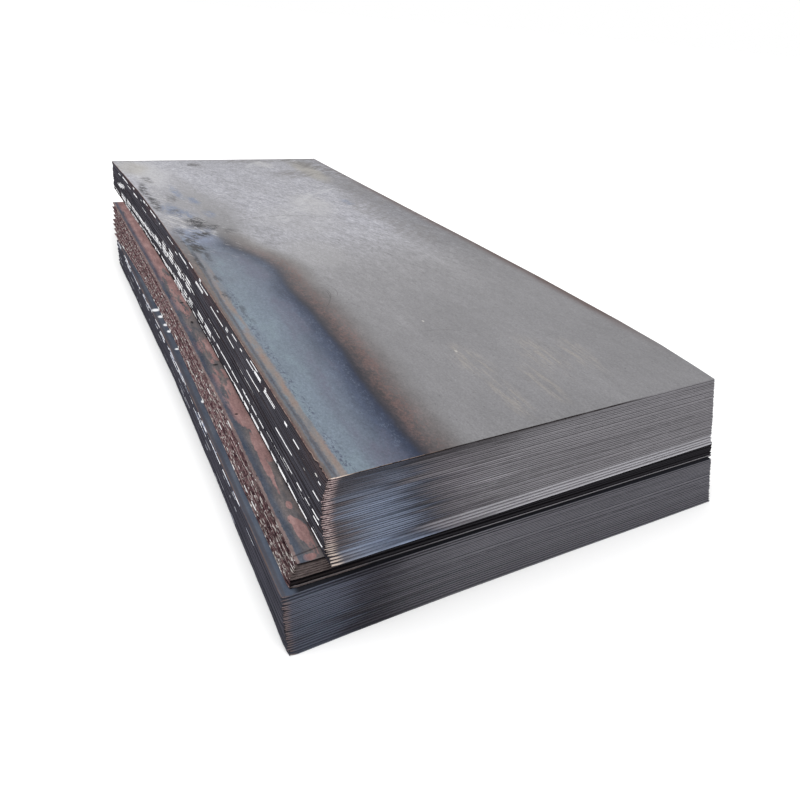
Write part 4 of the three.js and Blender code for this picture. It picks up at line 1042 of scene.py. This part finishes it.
    # a fainter painted highlight along the topmost plate's arris further right
    rub_and_sheen = g.mul(top, g.step(g.high, 0.62, 0.82), g.band(X, 0.06, 0.34, 0.06), g.step(g.noise(50, 1, 1, 3, 0.6, (seed, 3, 8)), 0.36, 0.52, 0.1, 1.0))
    c = g.mix(g.mul(rub_and_sheen, 0.6), c, g.tone(150, 132, 124))
    rough = g.step(g.noise(40, 1, 300, 3, 0.6), 0.3, 0.7, 0.45, 0.7)
    return g.done(c, rough, g.noise(220, 220, 900, 4, 0.65), 0.5, 0.0005)


def end_middle(name, seed, flip=False):
    """A sheared end of the middle stack, with the shade of the one above painted on it."""
    g = Paint(name, FRONT_GAIN, 0.0)
    X = g.inx if not flip else g.math("MULTIPLY_ADD", g.inx, -1.0, 1.6)
    c = g.ramp(g.noise(60, 1, 200, 5, 0.68, (seed, 1, 2)), [(0.3, (66, 58, 58)), (0.5, (90, 81, 80)), (0.7, (114, 103, 101))])
    c = painted_edge_shading(g, c, 0.75, below=1.15)
    # painted shade, row by row from the top: black, a lit plate, brown ones, a black one
    for lo, hi, amount in ((6.5, 9.0, 0.92), (5.5, 6.5, 0.12), (0.5, 1.5, 0.92), (-1.0, 0.5, 0.12)):
        c = g.mix(g.mul(g.band(g.row, lo, hi, 0.1), amount), c, g.tone(20, 18, 20))
    # painted shade beyond the corner, under the stack above; on the two heavy plates it starts further right
    heavy = g.step(g.row, 1.5, 1.4)
    c = g.mix(g.step(g.add(X, g.mul(heavy, -0.10)), 0.09, 0.15), c, g.tone(37, 36, 39))
    # painted highlight: the lowest plate's upper arris catches the light
    arris = g.mul(g.step(g.row, 0.5, 0.4), g.step(g.high, 0.52, 0.66), g.step(X, 0.10, 0.80, 0.30, 1.0))
    c = g.mix(arris, c, g.tone(116, 114, 118))
    rough = g.step(g.noise(40, 1, 300, 3, 0.6), 0.3, 0.7, 0.5, 0.75)
    return g.done(c, rough, g.noise(160, 160, 700, 4, 0.65), 0.6, 0.0006)


def end_lower(name, seed, flip=False):
    """A sheared end of the lower stack: dark slate, navy at the left."""
    g = Paint(name, FRONT_GAIN * 1.02, 0.05)
    row = g.row
    X = g.inx if not flip else g.math("MULTIPLY_ADD", g.inx, -1.0, 1.64)
    lam = g.noise(1, 1, 1, 3, 0.6, (seed, 0, 0), vector=g.vec(g.mul(row, 3.1), g.mul(g.inx, 1.0), 0.0))
    slow = g.noise(1, 1, 1, 4, 0.6, (seed, 4, 0), vector=g.vec(g.mul(row, 0.16), g.mul(g.inx, 2.6), 0.0))
    u = streaks(g, X, seed, 0.20, 0.28)
    c = g.ramp(g.math("MULTIPLY", u, 1.6, clamp=True), [
        (0.0, (75, 76, 86)), (0.12, (81, 85, 97)), (0.24, (78, 81, 93)), (0.36, (60, 60, 68)), (0.48, (62, 61, 67)), (0.62, (82, 81, 87)), (0.80, (92, 91, 97)), (1.0, (95, 94, 100))])
    c = g.vary(c, lam, 0.10)
    c = g.vary(c, slow, 0.09)
    dip = g.mul(g.step(lam, 0.44, 0.37), g.band(X, 0.16, 0.50, 0.12))
    c = g.scale(c, g.math("MULTIPLY_ADD", dip, -0.35, 1.0))
    thin = g.mul(g.step(g.noise(1, 1, 1, 1, 0.5, (seed, 6, 0), vector=g.vec(g.mul(row, 2.3), g.mul(g.inx, 0.6), 0.0)), 0.36, 0.30), g.step(X, 0.3, 0.5))
    c = g.scale(c, g.math("MULTIPLY_ADD", thin, -0.20, 1.0))
    # painted shade across the lowest plate's upper part, beside the gap above it, at the left
    gap = g.mul(g.step(row, 0.5, 0.4), g.step(g.high, 0.70, 0.86), g.step(X, 0.50, 0.28))
    c = g.scale(c, g.math("MULTIPLY_ADD", gap, -0.75, 1.0))
    c = painted_edge_shading(g, painted_seam_shade(g, g.scale(c, 1.06), amount=0.08), 0.84, below=1.04)
    c = g.scale(c, g.sub(1.0, g.mul(g.step(row, 12.0, 24.0), g.step(X, 0.75, 1.2), 0.10)))
    c = g.vary(c, g.noise(160, 1, 700, 3, 0.6, (1, 0, seed)), 0.15)
    c = g.vary(c, g.noise(34, 1, 150, 3, 0.7, (4, 0, seed)), 0.10)
    if not flip:
        c = wandering_dark_lines(g, c, ((0.092, 0.074, 0.22, 1.60, 0.36), (0.138, 0.134, 0.45, 1.50, 0.30), (0.036, 0.034, 0.10, 0.60, 0.30)))
    e = g.add(X, g.math("MULTIPLY_ADD", g.noise(1, 1, 1, 2, 0.6, (5, 0, seed), vector=g.vec(g.mul(row, 2.3), 0.0, 0.0)), 0.012, -0.006))
    worn = g.step(e, 0.008, 0.030, 1.0, 0.0)
    tan = g.ramp(g.noise(200, 200, 900, 3, 0.6, (2, 2, seed)), [(0.3, (90, 78, 80)), (0.5, (108, 95, 96)), (0.7, (132, 116, 114))])
    tan = painted_seam_shade(g, tan, lo=0.22, hi=0.80, amount=0.7)
    c = g.mix(g.mul(worn, 0.9), c, tan)
    rough = g.step(g.noise(40, 1, 300, 3, 0.6), 0.3, 0.7, 0.45, 0.7)
    return g.done(c, rough, g.noise(220, 220, 900, 4, 0.65), 0.45, 0.0005)


hidden_upper, hidden_middle, hidden_lower = steps_upper(), steps_middle(), steps_lower()
# in the order: broad faces, left, near, right, far
UPPER = [hidden_upper, side_upper("edge_upper_left", 1.7), end_upper("end_upper_near", 2.3), side_upper("edge_upper_right", 8.1, 0.45), end_upper("end_upper_far", 6.1, True)]
MIDDLE = [hidden_middle, side_middle("edge_middle_left", 1.3), end_middle("end_middle_near", 2.1), side_middle("edge_middle_right", 4.9), end_middle("end_middle_far", 7.7, True)]
LOWER = [hidden_lower, side_lower("edge_lower_left", 2.9), end_lower("end_lower_near", 1.1), side_lower("edge_lower_right", 5.3), end_lower("end_lower_far", 8.3, True)]

# ---------------------------------------------------------------- the pieces
dice = np.random.RandomState(77)
# painted highlights: where each plate's long edges flash, from the tables above and at random
for i, p in enumerate(upper):
    mid = p["z"] + p["thick"] / 2
    p["flash_left"] = [(a, b, w) for table, w in ((FLASHES, 0.555 if i < 4 else 1.0), (DIM, 0.62)) for a, b, lo, hi in table if lo - 1.5 <= mid <= hi + 1.5]
    p["flash_right"] = random_flashes(dice, 5 if i > 14 else 14, 0, 3800, 90)
for i, p in enumerate(middle):
    p["flash_left"] = [(915, 945, 1.0), (1395, 1410, 1.0), (1570, 1600, 1.0), (1650, 1670, 1.0), (1750, 1780, 1.0), (1830, 1870, 1.0)] if i == 0 else []
    p["flash_left"] += random_flashes(dice, 3, 0, 3000, 30)
    p["flash_right"] = random_flashes(dice, 5, 0, 3000, 40)
for i, p in enumerate(lower):
    p["flash_left"] = random_flashes(dice, 21 if i > 23 else 12 if i > 20 else 1.5, 130, 2950, 75)
    p["flash_right"] = random_flashes(dice, 10 if i > 20 else 1.5, 130, 2950, 60)
build("lower_plate_1", lower[0:1], 0, LOWER, 100)
build("lower_plate_2", lower[1:2], 1, LOWER, 101)
for k in range(5):
    i = 2 + 5 * k
    build(f"lower_pack_{k + 1}", lower[i:i + 5], i, LOWER, 100 + i)
build("lower_plate_top", lower[27:28], 27, [skin_lower()] + LOWER[1:], 127)
build("middle_heavy_plate_1", middle[0:1], 0, MIDDLE, 200)
build("middle_heavy_plate_2", middle[1:2], 1, MIDDLE, 201)
build("middle_pack", middle[2:7], 2, MIDDLE, 202)
build("middle_plate_top", middle[7:8], 7, [skin_middle()] + MIDDLE[1:], 207)
for k in range(4):
    build(f"upper_heavy_plate_{k + 1}", upper[k:k + 1], k, UPPER, 300 + k)
for k in range(7):
    i = 4 + 5 * k
    build(f"upper_pack_{k + 1}", upper[i:i + 5], i, UPPER, 300 + i)
build("upper_plate_top", upper[39:40], 39, [skin_top()] + UPPER[1:], 339,
      notches=((18, 30, 3.0), (44, 52, 5.0), (66, 84, 4.0), (108, 126, 3.0), (300, 312, 3.0)))

# ---------------------------------------------------------------- the studio
bpy.ops.mesh.primitive_plane_add(size=300, location=(0, 60, 0))
floor = bpy.context.object
floor.name = "floor"
g = bpy.data.materials.new("floor")
g.use_nodes = True
g.node_tree.nodes["Principled BSDF"].inputs["Base Color"].default_value = (0.9, 0.9, 0.9, 1)
g.node_tree.nodes["Principled BSDF"].inputs["Roughness"].default_value = 0.9
g.node_tree.nodes["Principled BSDF"].inputs["Specular IOR Level"].default_value = 0.0
floor.data.materials.append(g)
w = bpy.data.worlds.new("world")
bpy.context.scene.world = w
w.use_nodes = True
w.node_tree.nodes["Background"].inputs[0].default_value = (1, 1, 1, 1)
w.node_tree.nodes["Background"].inputs[1].default_value = 1.0
sun = bpy.data.lights.new("soft_top", "SUN")
sun.energy = 1.8
sun.angle = math.radians(70)
so = bpy.data.objects.new("soft_top", sun)
so.rotation_euler = (math.radians(-22), math.radians(-12), 0)
bpy.context.scene.collection.objects.link(so)
bpy.context.scene.view_settings.view_transform = "Standard"
